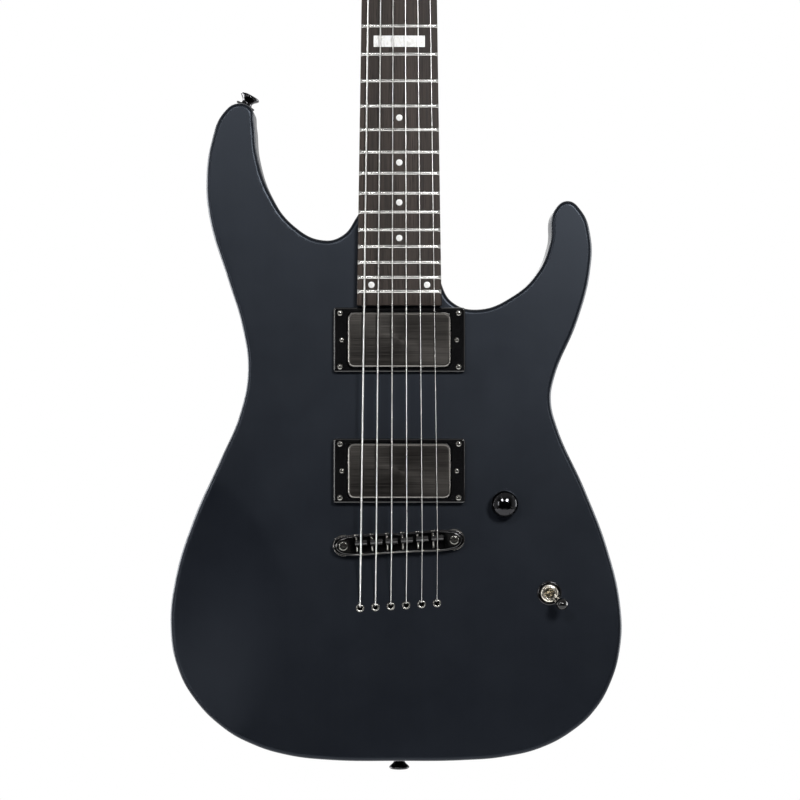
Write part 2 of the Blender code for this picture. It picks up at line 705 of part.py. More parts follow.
def make_saddles():
    for number in range(1, STRING_COUNT + 1):
        x, y, z = saddle_line(number)
        top, floor = y + GAP, CHANNEL_FLOOR_Y - GAP
        shape = [(-2.6, floor), (-2.6, top + 2.4 * MM), (-0.35, top), (0.35, top), (1.9, top + 1.4 * MM),
                 (1.9, floor)]
        half = 4.1 * MM
        rings = [[(side * half, at_y, at_z * MM) for at_z, at_y in shape] for side in (-1, 1)]
        saddle = loft(f"saddle_{number}", rings)
        saddle.matrix_world = Matrix.Translation((x, 0, z)) @ Matrix.Rotation(-BRIDGE_SLANT, 4, "Y")
        keep(saddle, black_metal())


# ---- strings --------------------------------------------------------------------------------------------
def string_route(number, radius):
    """Points and radii of a string: ball end, through the body, over saddle and nut, round its post."""
    ball = 1.8 * MM
    x, z = eyelet_at(number)
    lean = 0.5 * MM  # the string bears on the upper side of its hole
    route = [((x, 19.5 * MM, z), ball), ((x, 16.0 * MM, z), ball), ((x, 15.6 * MM, z), radius)]
    route += [((x, 8 * MM, z + lean), radius), ((x, FRONT_Y + 1 * MM, z + lean), radius)]
    route += [((x, FRONT_Y - 0.75 * MM, z + lean + 0.3 * MM), radius)]
    saddle = Vector(saddle_line(number)) - Vector((0, radius, 0))
    nut = Vector(nut_line(number)) - Vector((0, radius, 0))
    tail = Vector(route[-1][0])
    behind = saddle + (tail - saddle).normalized() * 1.5 * MM
    route += [(tuple(behind), radius), (tuple(saddle + Vector((0, 0, 1 * MM))), radius)]
    coil = coil_points(number, radius)
    past_nut = nut + (coil[0] - nut).normalized() * 3 * MM
    route += [(tuple(nut), radius), (tuple(past_nut), radius)]
    return route + [(tuple(point), radius) for point in coil]


def coil_points(number, radius):
    """The windings on a post, rising from the headstock."""
    centre_x, centre_y = post_at(number)
    reach = POST_WAIST_RADIUS + GAP + radius
    turns, per_turn = 2, 8
    lowest = 4.9 * MM
    pitch = 2 * radius + 0.15 * MM
    frame = head_frame()
    points = []
    for i in range(int(turns * per_turn) + 1):
        angle = 2 * math.pi * i / per_turn
        rise = lowest + pitch * i / per_turn
        across, along = centre_x + reach * math.cos(angle), centre_y + reach * math.sin(angle)
        points.append(frame @ Vector((across, along, rise)))
    return points


def make_strings():
    for number, diameter in enumerate(STRING_DIAMETERS, start=1):
        radius = diameter / 2
        data = bpy.data.curves.new(f"string_{number}", "CURVE")
        data.dimensions = "3D"
        data.bevel_depth = radius
        data.bevel_resolution = 1
        data.use_fill_caps = True
        spline = data.splines.new("POLY")
        route = string_route(number, radius)
        spline.points.add(len(route) - 1)
        for at, (point, thickness) in zip(spline.points, route):
            at.co = (*point, 1)
            at.radius = thickness / radius
        string = bpy.data.objects.new(f"string_{number}", data)
        PARTS.objects.link(string)
        keep(string, steel())


# ---- tuners ---------------------------------------------------------------------------------------------
def make_tuner(number):
    frame = holder(f"tuner_{number}_frame", tuner_frame(number))
    back = -HEAD_THICKNESS - GAP
    low, high = (-7.2 * MM, -6.4 * MM, back - 9.8 * MM), (7.2 * MM, 10.4 * MM, back)
    case = box(f"tuner_housing_{number}", low, high)
    bushing = rod("bushing", (0, 0, back - 0.6 * MM), (0, 0, 2.4 * MM), 4.7 * MM, 14)
    hollow = box("gear_room", (-6 * MM, -5.2 * MM, back - 8.6 * MM), (6 * MM, 9.2 * MM, back - 1.2 * MM))
    post_bore = rod("post_bore", (0, 0, back - 4 * MM), (0, 0, 5 * MM), 3.35 * MM, 14)
    inside, outside = (4 * MM, WORM_OFFSET, -WORM_DEPTH), (9 * MM, WORM_OFFSET, -WORM_DEPTH)
    shaft_bore = rod("shaft_bore", inside, outside, 1.9 * MM, 10)
    join(case, bushing)
    cut(case, hollow, post_bore, shaft_bore)
    for piece in (bushing, hollow, post_bore, shaft_bore):
        carry(frame, piece, piece.matrix_world.copy())
    carry(frame, keep(case, black_metal()))

    waist = POST_WAIST_RADIUS / MM
    top = [(0, 13.4), (2.6, 13.4), (3.0, 13.0), (3.0, 10.6), (waist, 9.9), (waist, 4.0), (3.0, 3.4)]
    profile = top + [(3.0, -16.6), (4.4, -16.6), (4.4, -20.0), (2.0, -20.0), (2.0, -22.8), (0, -22.8)]
    post = turned(f"tuner_post_{number}", profile, 12)
    carry(frame, keep(post, black_metal()))

    shaft = turned(
        f"tuner_button_{number}",
        [(0, 20), (1.5, 20), (2.6, 12), (2.6, 8.6), (1.5, 8.2), (1.5, 4.4), (2.0, 4.0), (2.0, -4.0),
         (1.4, -4.4), (1.4, -5.6), (0, -5.6)],
        10,
    )

    def build(bm):
        bmesh.ops.create_uvsphere(bm, u_segments=12, v_segments=6, radius=1)
        bmesh.ops.scale(bm, vec=(3.9 * MM, 9.4 * MM, 7.6 * MM), verts=bm.verts)

    knob = new_mesh_object("tuner_knob", build)
    place = Matrix.Translation((0, WORM_OFFSET, -WORM_DEPTH)) @ along_x()
    carry(frame, knob, place @ Matrix.Translation((0, 0, 22 * MM)))
    join(shaft, knob)
    carry(frame, keep(shaft, black_metal()), place)


# ---- pickups and controls -------------------------------------------------------------------------------
def rounded_block(name, size, centre, corner, segments=3):
    """A block with its four corners rounded in the front view."""

    def build(bm):
        bmesh.ops.create_cube(bm, size=1)
        bmesh.ops.scale(bm, vec=(size[0], size[2], size[1]), verts=bm.verts)

    block = upright_corners(new_mesh_object(name, build), corner, segments)
    block.data.transform(Matrix.Translation(centre) @ Matrix.Rotation(math.radians(90), 4, "X"))
    return block


def make_pickup(name, z):
    ring_height = RING_HEIGHTS[name]
    ring_y = FRONT_Y - GAP - ring_height / 2
    size = (RING_SIZE[0], ring_height, RING_SIZE[1])
    ring = rounded_block(f"pickup_ring_{name}", size, (0, ring_y, z), 1.5 * MM, 2)
    opening = (PICKUP_SIZE[0] + 1.0 * MM, ring_height + 6 * MM, PICKUP_SIZE[1] + 1.0 * MM)
    cut(ring, rounded_block("ring_opening", opening, (0, ring_y, z), 2.7 * MM, 2))
    keep(ring, black_plastic())

    top_y = PICKUP_TOPS[name]
    middle_y = top_y + PICKUP_DEPTH / 2
    size = (PICKUP_SIZE[0], PICKUP_DEPTH, PICKUP_SIZE[1])
    cover = rounded_block(f"pickup_{name}", size, (0, middle_y, z), 2.6 * MM, 3)
    ears = box("pickup_ears", (-41 * MM, top_y + PICKUP_DEPTH - 2.2 * MM, z - 6 * MM),
               (41 * MM, top_y + PICKUP_DEPTH - 0.4 * MM, z + 6 * MM))
    join(cover, ears)
    keep(cover, material("brushed_black_cover", (0.05, 0.047, 0.043), 0.35, 1.0))


def make_volume():
    x, z = VOLUME_AT
    place = Matrix.Translation((x, FRONT_Y, z)) @ turn_to((0, -1, 0))
    frame = holder("volume_frame", place)
    knob = turned("volume_knob", [(0, 17.2), (3.5, 16.8), (6.6, 15.4), (8.7, 12.8), (9.5, 9.4), (9.5, 1.4),
                                  (9.1, 1.0), (7.5, 1.0), (7.5, 5.0), (3.4, 5.0), (3.4, 12), (0, 12)], 28)
    carry(frame, keep(knob, black_metal()))
    shaft = turned("volume_shaft", [(0, 11.6), (3.0, 11.6), (3.0, -8.6), (0, -8.6)], 12)
    carry(frame, keep(shaft, steel()))
    pot = turned("volume_pot", [(3.3, 3.4), (4.1, 3.4), (4.1, -6.4), (12, -6.4), (12, -15.4), (0, -15.4),
                                (0, -9.2), (3.3, -9.2), (3.3, 3.4)], 18)
    carry(frame, keep(pot, steel()))


def toggle_frame():
    """Origin on the lever's pivot, Z along the lever at rest, X the axis that it swings about."""
    x, z = TOGGLE_AT
    swing = Vector((math.cos(TOGGLE_HEADING), 0, math.sin(TOGGLE_HEADING)))
    axis = swing.cross(Vector((0, -1, 0)))
    along = Vector((0, -1, 0)) * math.cos(TOGGLE_TILT) + swing * math.sin(TOGGLE_TILT)
    across = along.cross(axis)
    rotation = Matrix((axis, across, along)).transposed().to_4x4()
    return Matrix.Translation((x, TOGGLE_PIVOT_Y, z)) @ rotation


def make_toggle():
    x, z = TOGGLE_AT
    place = Matrix.Translation((x, FRONT_Y, z)) @ turn_to((0, -1, 0))
    washer_and_nut = [(4.2, 3.6), (5.4, 3.6), (6.2, 3.0), (6.2, 1.6), (8.4, 1.4), (8.4, 0.3), (6.0, 0.3)]
    works = [(6.0, -6.4), (11, -6.4), (11, -27), (0, -27), (0, -7.5), (4.2, -7.5), (4.2, 3.6)]
    switch = turned("toggle_switch", washer_and_nut + works, 20)
    switch.matrix_world = place
    keep(switch, steel())
    tip = [(0, 29.4), (2.2, 28.8), (3.6, 27.2), (3.9, 25.4), (3.2, 22), (1.9, 16.5), (1.3, 9)]
    lever = turned("toggle_lever", tip + [(1.3, 2), (2.2, 0), (1.3, -2), (1.3, -4), (0, -4)], 12)
    lever.matrix_world = toggle_frame()
    keep(lever, black_metal())


def make_jack():
    place = Matrix.Translation((JACK_FACE_X, 0, JACK_Z)) @ turn_to((1, 0, 0))
    profile = [(11.0, 0), (11.0, -8.9), (4.9, -8.9), (4.9, -7.7), (9.6, -7.7), (9.6, 0), (11.0, 0)]
    cup = turned("jack_cup", profile, 24)
    cup.matrix_world = place
    keep(cup, black_metal())
    bore = JACK_BORE_RADIUS / MM
    outside = [(bore, -4.6), (4.5, -4.6), (7.4, -5.2), (7.4, -7.4), (4.6, -7.4), (4.6, -9.2), (7.9, -9.2)]
    inside = [(7.9, -20), (6.4, -20), (6.4, -44), (0, -44), (0, -42), (bore, -42), (bore, -4.6)]
    jack = turned("output_jack", outside + inside, 16)
    jack.matrix_world = place
    keep(jack, steel())


def make_battery():
    battery = box("battery", (56 * MM, 2.4 * MM, 98 * MM), (82.5 * MM, 18.9 * MM, 146 * MM))
    return keep(bevel(battery, 1.5 * MM, 1), material("battery_can", (0.25, 0.25, 0.27), 0.4, 1.0))


# ---- strap buttons --------------------------------------------------------------------------------------
def upper_button_line(*distances):
    """Points on the upper strap button's axis, at distances out from the horn's edge."""
    x, z = UPPER_BUTTON_AT
    out = Vector((math.cos(UPPER_BUTTON_HEADING), 0, math.sin(UPPER_BUTTON_HEADING)))
    return [Vector((x, 0, z)) + out * distance for distance in distances]


def make_strap_buttons():
    """Each button turns on its own screw, whose shank is part of the same piece."""
    seat = STRAP_BUTTON_HEIGHT / MM
    profile = [(0, 0), (5.4, 0), (7.0, -1.0), (7.0, -2.0), (4.2, -4.4), (3.6, -6.0), (4.6, 0.4 - seat),
               (2.0, 0.4 - seat), (2.0, -28), (0, -28)]
    lower = turned("strap_button_lower", profile, 16)
    lower.matrix_world = turn_to((0, 0, -1))
    keep(lower, black_metal())
    upper = turned("strap_button_upper", profile, 16)
    start, end = upper_button_line(0, STRAP_BUTTON_HEIGHT)
    upper.matrix_world = Matrix.Translation(end) @ turn_to(end - start)
    keep(upper, black_metal())


# ---- the guitar -----------------------------------------------------------------------------------------
def main():
    clear_scene()
    make_body()
    make_control_cover()
    make_neck()
    make_fingerboard()
    make_nut()
    make_truss_rod()
    make_truss_rod_cover()
    make_neck_plate()
    make_neck_screws()
    make_bridge()
    make_saddles()
    make_strings()
    for number in range(1, STRING_COUNT + 1):
        make_tuner(number)
    for name, z in PICKUP_CENTRES.items():
        make_pickup(name, z)
    make_volume()
    make_toggle()
    make_jack()
    make_battery()
    make_strap_buttons()


main()
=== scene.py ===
"""Looks of the solid-body electric guitar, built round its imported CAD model.

Frame: metres, +Z up the neck, -Y out of the front, +X the treble side. Places come from the CAD nodes'
boxes and joints; the points of outlines and profiles are in millimetres.
"""

import json
import math

import bmesh
import bpy
from mathutils import Matrix, Vector


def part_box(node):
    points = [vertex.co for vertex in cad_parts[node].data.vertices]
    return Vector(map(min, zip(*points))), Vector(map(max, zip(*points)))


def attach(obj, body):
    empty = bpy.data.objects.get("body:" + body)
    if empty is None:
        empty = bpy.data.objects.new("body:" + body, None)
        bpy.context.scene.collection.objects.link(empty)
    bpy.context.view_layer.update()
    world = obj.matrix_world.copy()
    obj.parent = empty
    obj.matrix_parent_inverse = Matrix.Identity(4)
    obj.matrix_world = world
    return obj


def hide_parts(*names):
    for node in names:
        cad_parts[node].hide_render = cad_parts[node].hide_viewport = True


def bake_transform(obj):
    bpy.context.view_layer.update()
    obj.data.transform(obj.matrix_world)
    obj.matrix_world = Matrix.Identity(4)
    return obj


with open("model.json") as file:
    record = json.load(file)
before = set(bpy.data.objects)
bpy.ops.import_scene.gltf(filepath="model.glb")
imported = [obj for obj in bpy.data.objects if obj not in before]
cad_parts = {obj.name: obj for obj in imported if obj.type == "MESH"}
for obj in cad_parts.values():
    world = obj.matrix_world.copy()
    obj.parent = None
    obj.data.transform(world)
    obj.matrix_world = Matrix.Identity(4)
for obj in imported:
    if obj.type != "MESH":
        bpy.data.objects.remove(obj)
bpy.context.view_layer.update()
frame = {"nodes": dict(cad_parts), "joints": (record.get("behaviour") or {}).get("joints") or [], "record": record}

MM = 0.001
GAP = 0.3 * MM
JOINTS = {joint["name"]: joint for joint in frame["joints"]}
STRINGS = range(1, 7)  # 1 is high E on the treble side
ROOT = "instrument"

# ---- places read from the frame ----
BODY_LOW, BODY_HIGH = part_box("body")
FRONT_Y, BACK_Y = BODY_LOW.y, BODY_HIGH.y
BODY_THICKNESS = BACK_Y - FRONT_Y
BOARD_LOW, BOARD_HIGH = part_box("fingerboard")
NUT_LOW, NUT_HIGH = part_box("nut")
FRET_HEIGHT = 1.2 * MM
BOARD_TOP_Y = BOARD_LOW.y + FRET_HEIGHT
NECK_TOP_Y = BOARD_HIGH.y + GAP
BOARD_END_Z = BOARD_LOW.z
NUT_Z = NUT_LOW.z
HEAD_START_Z = NUT_HIGH.z + GAP
SCALE_LENGTH = 648 * MM
SCALE_END_Z = NUT_Z - SCALE_LENGTH
BOARD_HALF_AT_NUT = NUT_HIGH.x
BOARD_HALF_AT_END = BOARD_HIGH.x
BOARD_RADIUS = 350 * MM
HEAD_THICKNESS = 14.5 * MM
POCKET_FLOOR_Y = -6 * MM
HEEL_TOP_Z = 396 * MM
FRET_COUNT = 24

# ---- shapes ----
BODY_OUTLINE = [
    (0, 7.9), (-50, 8.7), (-78, 12.2), (-101, 19.4), (-121, 30.5), (-141.5, 50.5), (-152.8, 71),
    (-158, 98), (-154.6, 132.5), (-141.6, 173.7), (-123, 214.8), (-109.6, 246), (-104, 276),
    (-108, 307), (-117.8, 339), (-130, 379), (-132.6, 406), (-128.8, 434.7), (-121.2, 453),
    (-111, 460), (-101.8, 456.6), (-99.6, 446), (-97.4, 424), (-88.3, 397), (-71.7, 375),
    (-52, 365.8), (-38.5, 369.6), (-28.6, 383), (-23, 391), (0, 393), (21, 388), (27.3, 375),
    (27.3, 350), (29.6, 334), (37, 322.8), (53.5, 318.2), (77.8, 327.3), (95.3, 344), (103.5, 364),
    (106.4, 386), (115.5, 392.8), (125.1, 386), (131.4, 369), (131.2, 345), (122.5, 310.7),
    (106.7, 272), (104.2, 256), (108.5, 237), (127.5, 194.3), (143.2, 153), (152.2, 112),
    (151.8, 86), (144.6, 60.4), (134, 42.5), (120.6, 29.8), (98, 17.2), (72, 10.8), (46, 8.5),
]
# On the headstock's face: X, distance above the nut.
HEAD_OUTLINE = [
    (-21.2, -2), (-21.8, 4), (-26, 15), (-33.2, 25), (-34.4, 31), (-26, 62), (-15, 104), (-4, 146),
    (3.5, 172), (9, 182.5), (19, 186.5), (28, 180.5), (31.5, 167), (31, 150), (27, 110), (23.8, 60),
    (22, 20), (21.2, -2),
]
CONTROL_CAVITY = [(54, 205), (91, 205), (128, 152), (129, 92), (54, 92)]
COVER_LEDGE = 5.0
ARM_CONTOUR = (-192, 105, 116, 13.0, -1)  # X, Z, reach, depth in mm, and the face: -1 front, 1 back
BELLY_CONTOUR = (-136, 276, 92, 13.0, 1)
BODY_EDGE_RADIUS = 3.2 * MM

STRING_DIAMETERS = [d * MM for d in (0.254, 0.330, 0.432, 0.660, 0.914, 1.168)]
WOUND_STRINGS = (4, 5, 6)
HALF_SPREAD_BRIDGE = 26.1 * MM
HALF_SPREAD_NUT = 17.2 * MM
HALF_SPREAD_EYELETS = 26.4 * MM
STRING_LIFT_NUT = 1.8 * MM
STRING_LIFT_BRIDGE = 4.6 * MM
POST_WAIST_RADIUS = 2.55 * MM
SCREW_OFFSET = 3.0 * MM  # from a string to the intonation screw beside it, towards the bass
SINGLE_DOTS = (3, 5, 7, 9, 15, 17, 19, 21)
DOUBLE_DOT_FRET = 24
BLOCK_FRET = 12


# ---- mesh helpers ----
def show(obj):
    bpy.context.scene.collection.objects.link(obj)
    return obj


def mesh_object(name, build):
    """An object whose mesh is what build(bm) leaves in a bmesh, with its faces pointing out."""
    bm = bmesh.new()
    build(bm)
    bmesh.ops.recalc_face_normals(bm, faces=bm.faces)
    mesh = bpy.data.meshes.new(name)
    bm.to_mesh(mesh)
    bm.free()
    return show(bpy.data.objects.new(name, mesh))


def apply_modifiers(obj):
    """Replaces obj's mesh with what its modifiers make of it."""
    bpy.context.view_layer.update()
    graph = bpy.context.evaluated_depsgraph_get()
    mesh = bpy.data.meshes.new_from_object(obj.evaluated_get(graph))
    obj.modifiers.clear()
    obj.data = mesh
    return obj


def rounded(points, radius, steps=3, closed=False):
    """The same line of points with its corners rounded off."""
    points = [Vector(point) for point in points]
    count = len(points)
    line = []
    for i, point in enumerate(points):
        if not closed and i in (0, count - 1):
            line.append(tuple(point))
            continue
        back, on = points[i - 1] - point, points[(i + 1) % count] - point
        reach = min(radius, 0.45 * back.length, 0.45 * on.length)
        if reach < 1e-5 or abs(back.angle(on) - math.pi) < 0.12:
            line.append(tuple(point))
            continue
        start, end = point + back.normalized() * reach, point + on.normalized() * reach
        for step in range(steps + 1):
            t = step / steps
            line.append(tuple(start * (1 - t) ** 2 + point * 2 * t * (1 - t) + end * t * t))
    return line


def lathe(name, profile, matrix=None, segments=48, soften=0.25):
    """A solid turned about local Z from (radius, height) pairs in mm; a hollow one ends where it starts."""
    hollow = profile[0] == profile[-1]
    line = rounded(profile[:-1], soften, closed=True) if hollow else rounded(profile, soften)

    def build(bm):
        rings = []
        for radius, height in line:
            if radius < 1e-6:
                rings.append([bm.verts.new((0, 0, height * MM))] * segments)
                continue
            turns = [2 * math.pi * i / segments for i in range(segments)]
            spots = [(radius * MM * math.cos(a), radius * MM * math.sin(a), height * MM) for a in turns]
            rings.append([bm.verts.new(spot) for spot in spots])
        pairs = list(zip(rings, rings[1:])) + ([(rings[-1], rings[0])] if hollow else [])
        for upper, lower in pairs:
            for i in range(segments):
                j = (i + 1) % segments
                corners = list(dict.fromkeys((upper[i], upper[j], lower[j], lower[i])))
                if len(corners) > 2:
                    bm.faces.new(corners)

    obj = mesh_object(name, build)
    obj.matrix_world = matrix or Matrix.Identity(4)
    return obj


def loft(name, rings, capped=True):
    """A skin through rings of points that all have the same count."""

    def build(bm):
        made = [[bm.verts.new(point) for point in ring] for ring in rings]
        count = len(made[0])
        for low, high in zip(made, made[1:]):
            for i in range(count):
                j = (i + 1) % count
                bm.faces.new((low[i], low[j], high[j], high[i]))
        if capped:
            bm.faces.new(made[0])
            bm.faces.new(made[-1])

    return mesh_object(name, build)


def curve_mesh(data):
    """The mesh that a curve makes; the curve itself goes."""
    curve = show(bpy.data.objects.new(data.name, data))
    bpy.context.view_layer.update()
    mesh = bpy.data.meshes.new_from_object(curve.evaluated_get(bpy.context.evaluated_depsgraph_get()))
    bpy.data.objects.remove(curve)
    return mesh


def curve_loop(points, per_span, corners=()):
    """Points of a smooth closed line through (x, y) points; those whose index is in corners stay sharp."""
    data = bpy.data.curves.new("loop", "CURVE")
    data.dimensions = "2D"
    data.fill_mode = "NONE"
    data.resolution_u = per_span
    spline = data.splines.new("BEZIER")
    spline.bezier_points.add(len(points) - 1)
    for i, (at, (x, y)) in enumerate(zip(spline.bezier_points, points)):
        at.co = (x * MM, y * MM, 0)
        at.handle_left_type = at.handle_right_type = "VECTOR" if i in corners else "AUTO"
    spline.use_cyclic_u = True
    mesh = curve_mesh(data)
    line = [(vertex.co.x, vertex.co.y) for vertex in mesh.vertices]
    bpy.data.meshes.remove(mesh)
    return line


def plate(name, loop, thickness, edge=0.0, segments=3, matrix=None):
    """A flat plate in local XY, centred on local Z = 0, with its rim rounded."""

    def build(bm):
        face = bm.faces.new([bm.verts.new((x, y, -thickness / 2)) for x, y in loop])
        raised = bmesh.ops.extrude_face_region(bm, geom=[face])["geom"]
        top = [item for item in raised if isinstance(item, bmesh.types.BMVert)]
        bmesh.ops.translate(bm, vec=(0, 0, thickness), verts=top)

    obj = mesh_object(name, build)
    if edge:
        bevel(obj, edge, segments)
    obj.matrix_world = matrix or Matrix.Identity(4)
    return obj


def rectangle(width, height, corner, steps=6):
    """A loop round a rectangle with rounded corners."""
    w, h = width / 2, height / 2
    return rounded([(w, h), (-w, h), (-w, -h), (w, -h)], corner, steps, closed=True)


def box(name, low, high, edge=0.0, segments=3):
    """A box between two corners, with rounded edges."""
    low, high = Vector(low), Vector(high)

    def build(bm):
        bmesh.ops.create_cube(bm, size=1)
        bmesh.ops.scale(bm, vec=high - low, verts=bm.verts)
        bmesh.ops.translate(bm, vec=(low + high) / 2, verts=bm.verts)

    obj = mesh_object(name, build)
    return bevel(obj, edge, segments) if edge else obj


def turn_to(axis):
    """The rotation that carries +Z to axis."""
    return Vector(axis).normalized().to_track_quat("Z", "Y").to_matrix().to_4x4()


def aimed(place, axis):
    """A place with local Z along axis."""
    return Matrix.Translation(place) @ turn_to(axis)


def spun(angle):
    return Matrix.Rotation(angle, 4, "Z")


def moved(x, y, z):
    return Matrix.Translation((x, y, z))


def rod(name, start, end, radius, segments=24):
    start, end = Vector(start), Vector(end)
    half = (end - start).length / 2 / MM
    profile = [(0, half), (radius / MM, half), (radius / MM, -half), (0, -half)]
    return lathe(name, profile, aimed((start + end) / 2, end - start), segments, 0)


def facing_front(y, x=0.0, z=0.0):
    """Carries local XY to world XZ and local Z to -Y."""
    return Matrix.Translation((x, y, z)) @ Matrix.Rotation(math.radians(90), 4, "X")


def bevel(obj, width, segments=3, angle=35):
    rounding = obj.modifiers.new("rounding", "BEVEL")
    rounding.width = width
    rounding.segments = segments
    rounding.limit_method = "ANGLE"
    rounding.angle_limit = math.radians(angle)
    return apply_modifiers(obj)


def boolean(target, others, operation):
    for other in others:
        step = target.modifiers.new(other.name, "BOOLEAN")
        step.operation = operation
        step.object = other
        step.solver = "MANIFOLD"
    apply_modifiers(target)
    for other in others:
        bpy.data.objects.remove(other)
    return target


def cut(target, *others):
    return boolean(target, others, "DIFFERENCE")


def join(target, *others):
    return boolean(target, others, "UNION")


def tube(name, points, radii, sides=10):
    """A wire through points, with a radius at each, as a closed mesh."""
    data = bpy.data.curves.new(name, "CURVE")
    data.dimensions = "3D"
    data.bevel_depth = 1.0
    data.bevel_resolution = (sides - 4) // 2
    data.use_fill_caps = True
    spline = data.splines.new("POLY")
    spline.points.add(len(points) - 1)
    for at, point, radius in zip(spline.points, points, radii):
        at.co = (*point, 1)
        at.radius = radius
    mesh = curve_mesh(data)

    def build(bm):
        bm.from_mesh(mesh)
        bmesh.ops.remove_doubles(bm, verts=bm.verts, dist=0.002 * MM)

    return mesh_object(name, build)


def dress(obj, material, slot, body=ROOT, replaces=(), sharp=32, weighted=False):
    """Gives a piece its material, shading and body, and hides the CAD nodes that it stands for; slot is not used.
    """
    obj.data.materials.clear()
    obj.data.materials.append(material)
    obj.data.shade_smooth()
    obj.data.set_sharp_from_angle(angle=math.radians(sharp))
    if weighted:
        normals = obj.modifiers.new("normals", "WEIGHTED_NORMAL")
        normals.keep_sharp = True
        normals.weight = 90
        apply_modifiers(obj)
    if body:
        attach(obj, body)
    if replaces:
        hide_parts(*replaces)
    return obj


def turned(name, profile, place, material, slot, segments=48, soften=0.25, **rest):
    """A lathe piece, dressed."""
    return dress(lathe(name, profile, place, segments, soften), material, slot, **rest)


# ---- materials ----
def add_node(tree, kind, **inputs):
    """A shader node; each input is given as a socket to link to it or as a plain value."""
    made = tree.nodes.new(kind)
    for socket, value in inputs.items():
        target = made.inputs[socket.replace("_", " ")]
        if isinstance(value, bpy.types.NodeSocket):
            tree.links.new(value, target)
        else:
            target.default_value = value
    return made


class Recipe:
    """A Principled material that is built up from procedural nodes in the piece's own coordinates."""

    def __init__(self, name, metallic=0.0, **sockets):
        self.material = bpy.data.materials.new(name)
        self.material.use_nodes = True
        self.tree = self.material.node_tree
        self.shader = self.tree.nodes["Principled BSDF"]
        self.shader.inputs["Metallic"].default_value = metallic
        for socket, value in sockets.items():
            self.shader.inputs[socket.replace("_", " ")].default_value = value
        coordinates = self.tree.nodes.new("ShaderNodeTexCoord")
        self.place, self.surface = coordinates.outputs["Object"], coordinates.outputs["Normal"]
        self.normal = None

    def node(self, kind, **inputs):
        return add_node(self.tree, kind, **inputs)

    def noise(self, scale, detail=4.0, stretch=(1, 1, 1), roughness=0.55, distortion=0.0):
        """Noise with about scale features a metre, drawn out along an axis by a small stretch."""
        mapped = self.node("ShaderNodeMapping", Vector=self.place, Scale=stretch).outputs["Vector"]
        made = self.node("ShaderNodeTexNoise", Vector=mapped, Scale=scale, Detail=detail,
                         Roughness=roughness, Distortion=distortion)
        return made.outputs["Fac"]

    def ramp(self, value, *stops):
        """Turns a value into a colour; stops are (position, colour) pairs."""
        made = self.node("ShaderNodeValToRGB", Fac=value)
        elements = made.color_ramp.elements
        while len(elements) < len(stops):
            elements.new(0.5)
        for element, (position, colour) in zip(elements, stops):
            element.position = position
            element.color = (*colour, 1)
        return made.outputs["Color"]

    def mottle(self, colour, spread, scale, detail):
        """A colour that drifts darker and lighter in soft patches."""
        dark, light = shade(colour, 1 - spread), shade(colour, 1 + spread)
        return self.ramp(self.noise(scale, detail), (0.35, dark), (0.65, light))

    def spread(self, value, low, high, start=0.25, end=0.75):
        """Maps a value's range from start to end onto low to high."""
        made = self.node("ShaderNodeMapRange", Value=value, From_Min=start, From_Max=end,
                         To_Min=low, To_Max=high)
        return made.outputs["Result"]

    def mix(self, share, first, second):
        """A colour between two others; share is the part of the second, as a number or a mask."""
        made = self.tree.nodes.new("ShaderNodeMix")
        made.data_type = "RGBA"
        for index, value in ((0, share), (6, first), (7, second)):
            if isinstance(value, bpy.types.NodeSocket):
                self.tree.links.new(value, made.inputs[index])
            else:
                made.inputs[index].default_value = value if index == 0 else (*value, 1)
        return made.outputs[2]

    def bump(self, height, strength, distance):
        made = self.node("ShaderNodeBump", Height=height, Strength=strength, Distance=distance)
        if self.normal:
            self.tree.links.new(self.normal, made.inputs["Normal"])
        self.normal = made.outputs["Normal"]

    def worn_edges(self, start=0.52, end=0.6):
        """1 on the piece's sharp outer edges and 0 elsewhere."""
        pointiness = self.tree.nodes.new("ShaderNodeNewGeometry").outputs["Pointiness"]
        return self.spread(pointiness, 0, 1, start, end)

    def finish(self, colour, roughness):
        for socket, value in (("Base Color", colour), ("Roughness", roughness), ("Normal", self.normal)):
            if value:
                self.tree.links.new(value, self.shader.inputs[socket])
        return self.material


def shade(colour, factor):
    return tuple(channel * factor for channel in colour)


def lacquer():
    """Satin black paint with a blue cast, fine orange peel and rubbed patches."""
    made = Recipe("satin_black_lacquer", IOR=1.31, Specular_Tint=(0.74, 0.84, 1.0, 1))
    blue_black = (0.0020, 0.0026, 0.0042)
    colour = made.mottle(blue_black, 0.14, 9, 3)
    grain = made.noise(420, 3, (1, 1, 0.03))
    streaks = made.ramp(grain, (0.3, shade(blue_black, 0.86)), (0.7, (0.006, 0.007, 0.010)))
    colour = made.mix(0.10, colour, streaks)
    made.bump(made.noise(1500, 2), 0.10, 0.06 * MM)
    made.bump(grain, 0.05, 0.05 * MM)
    return made.finish(colour, made.spread(made.noise(26, 5), 0.32, 0.37))


def rosewood():
    """Dark open-grained wood with long pores."""
    made = Recipe("dark_rosewood", IOR=1.2)
    figure = made.noise(62, 6, (1, 1, 0.05), distortion=0.6)
    fine = made.noise(900, 3, (1, 1, 0.018))
    colour = made.ramp(figure, (0.30, (0.010, 0.0078, 0.0068)), (0.5, (0.020, 0.0152, 0.0132)),
                       (0.72, (0.036, 0.027, 0.023)))
    streaks = made.ramp(fine, (0.35, (0.006, 0.005, 0.0045)), (0.62, (0.040, 0.032, 0.027)))
    colour = made.mix(0.38, colour, streaks)
    pores = made.noise(1500, 2, (1, 1, 0.03))
    colour = made.mix(made.spread(pores, 1, 0, 0.30, 0.40), colour, (0.004, 0.003, 0.0025))
    made.bump(fine, 0.25, 0.08 * MM)
    made.bump(pores, 0.3, 0.12 * MM)
    return made.finish(colour, made.spread(fine, 0.42, 0.6))


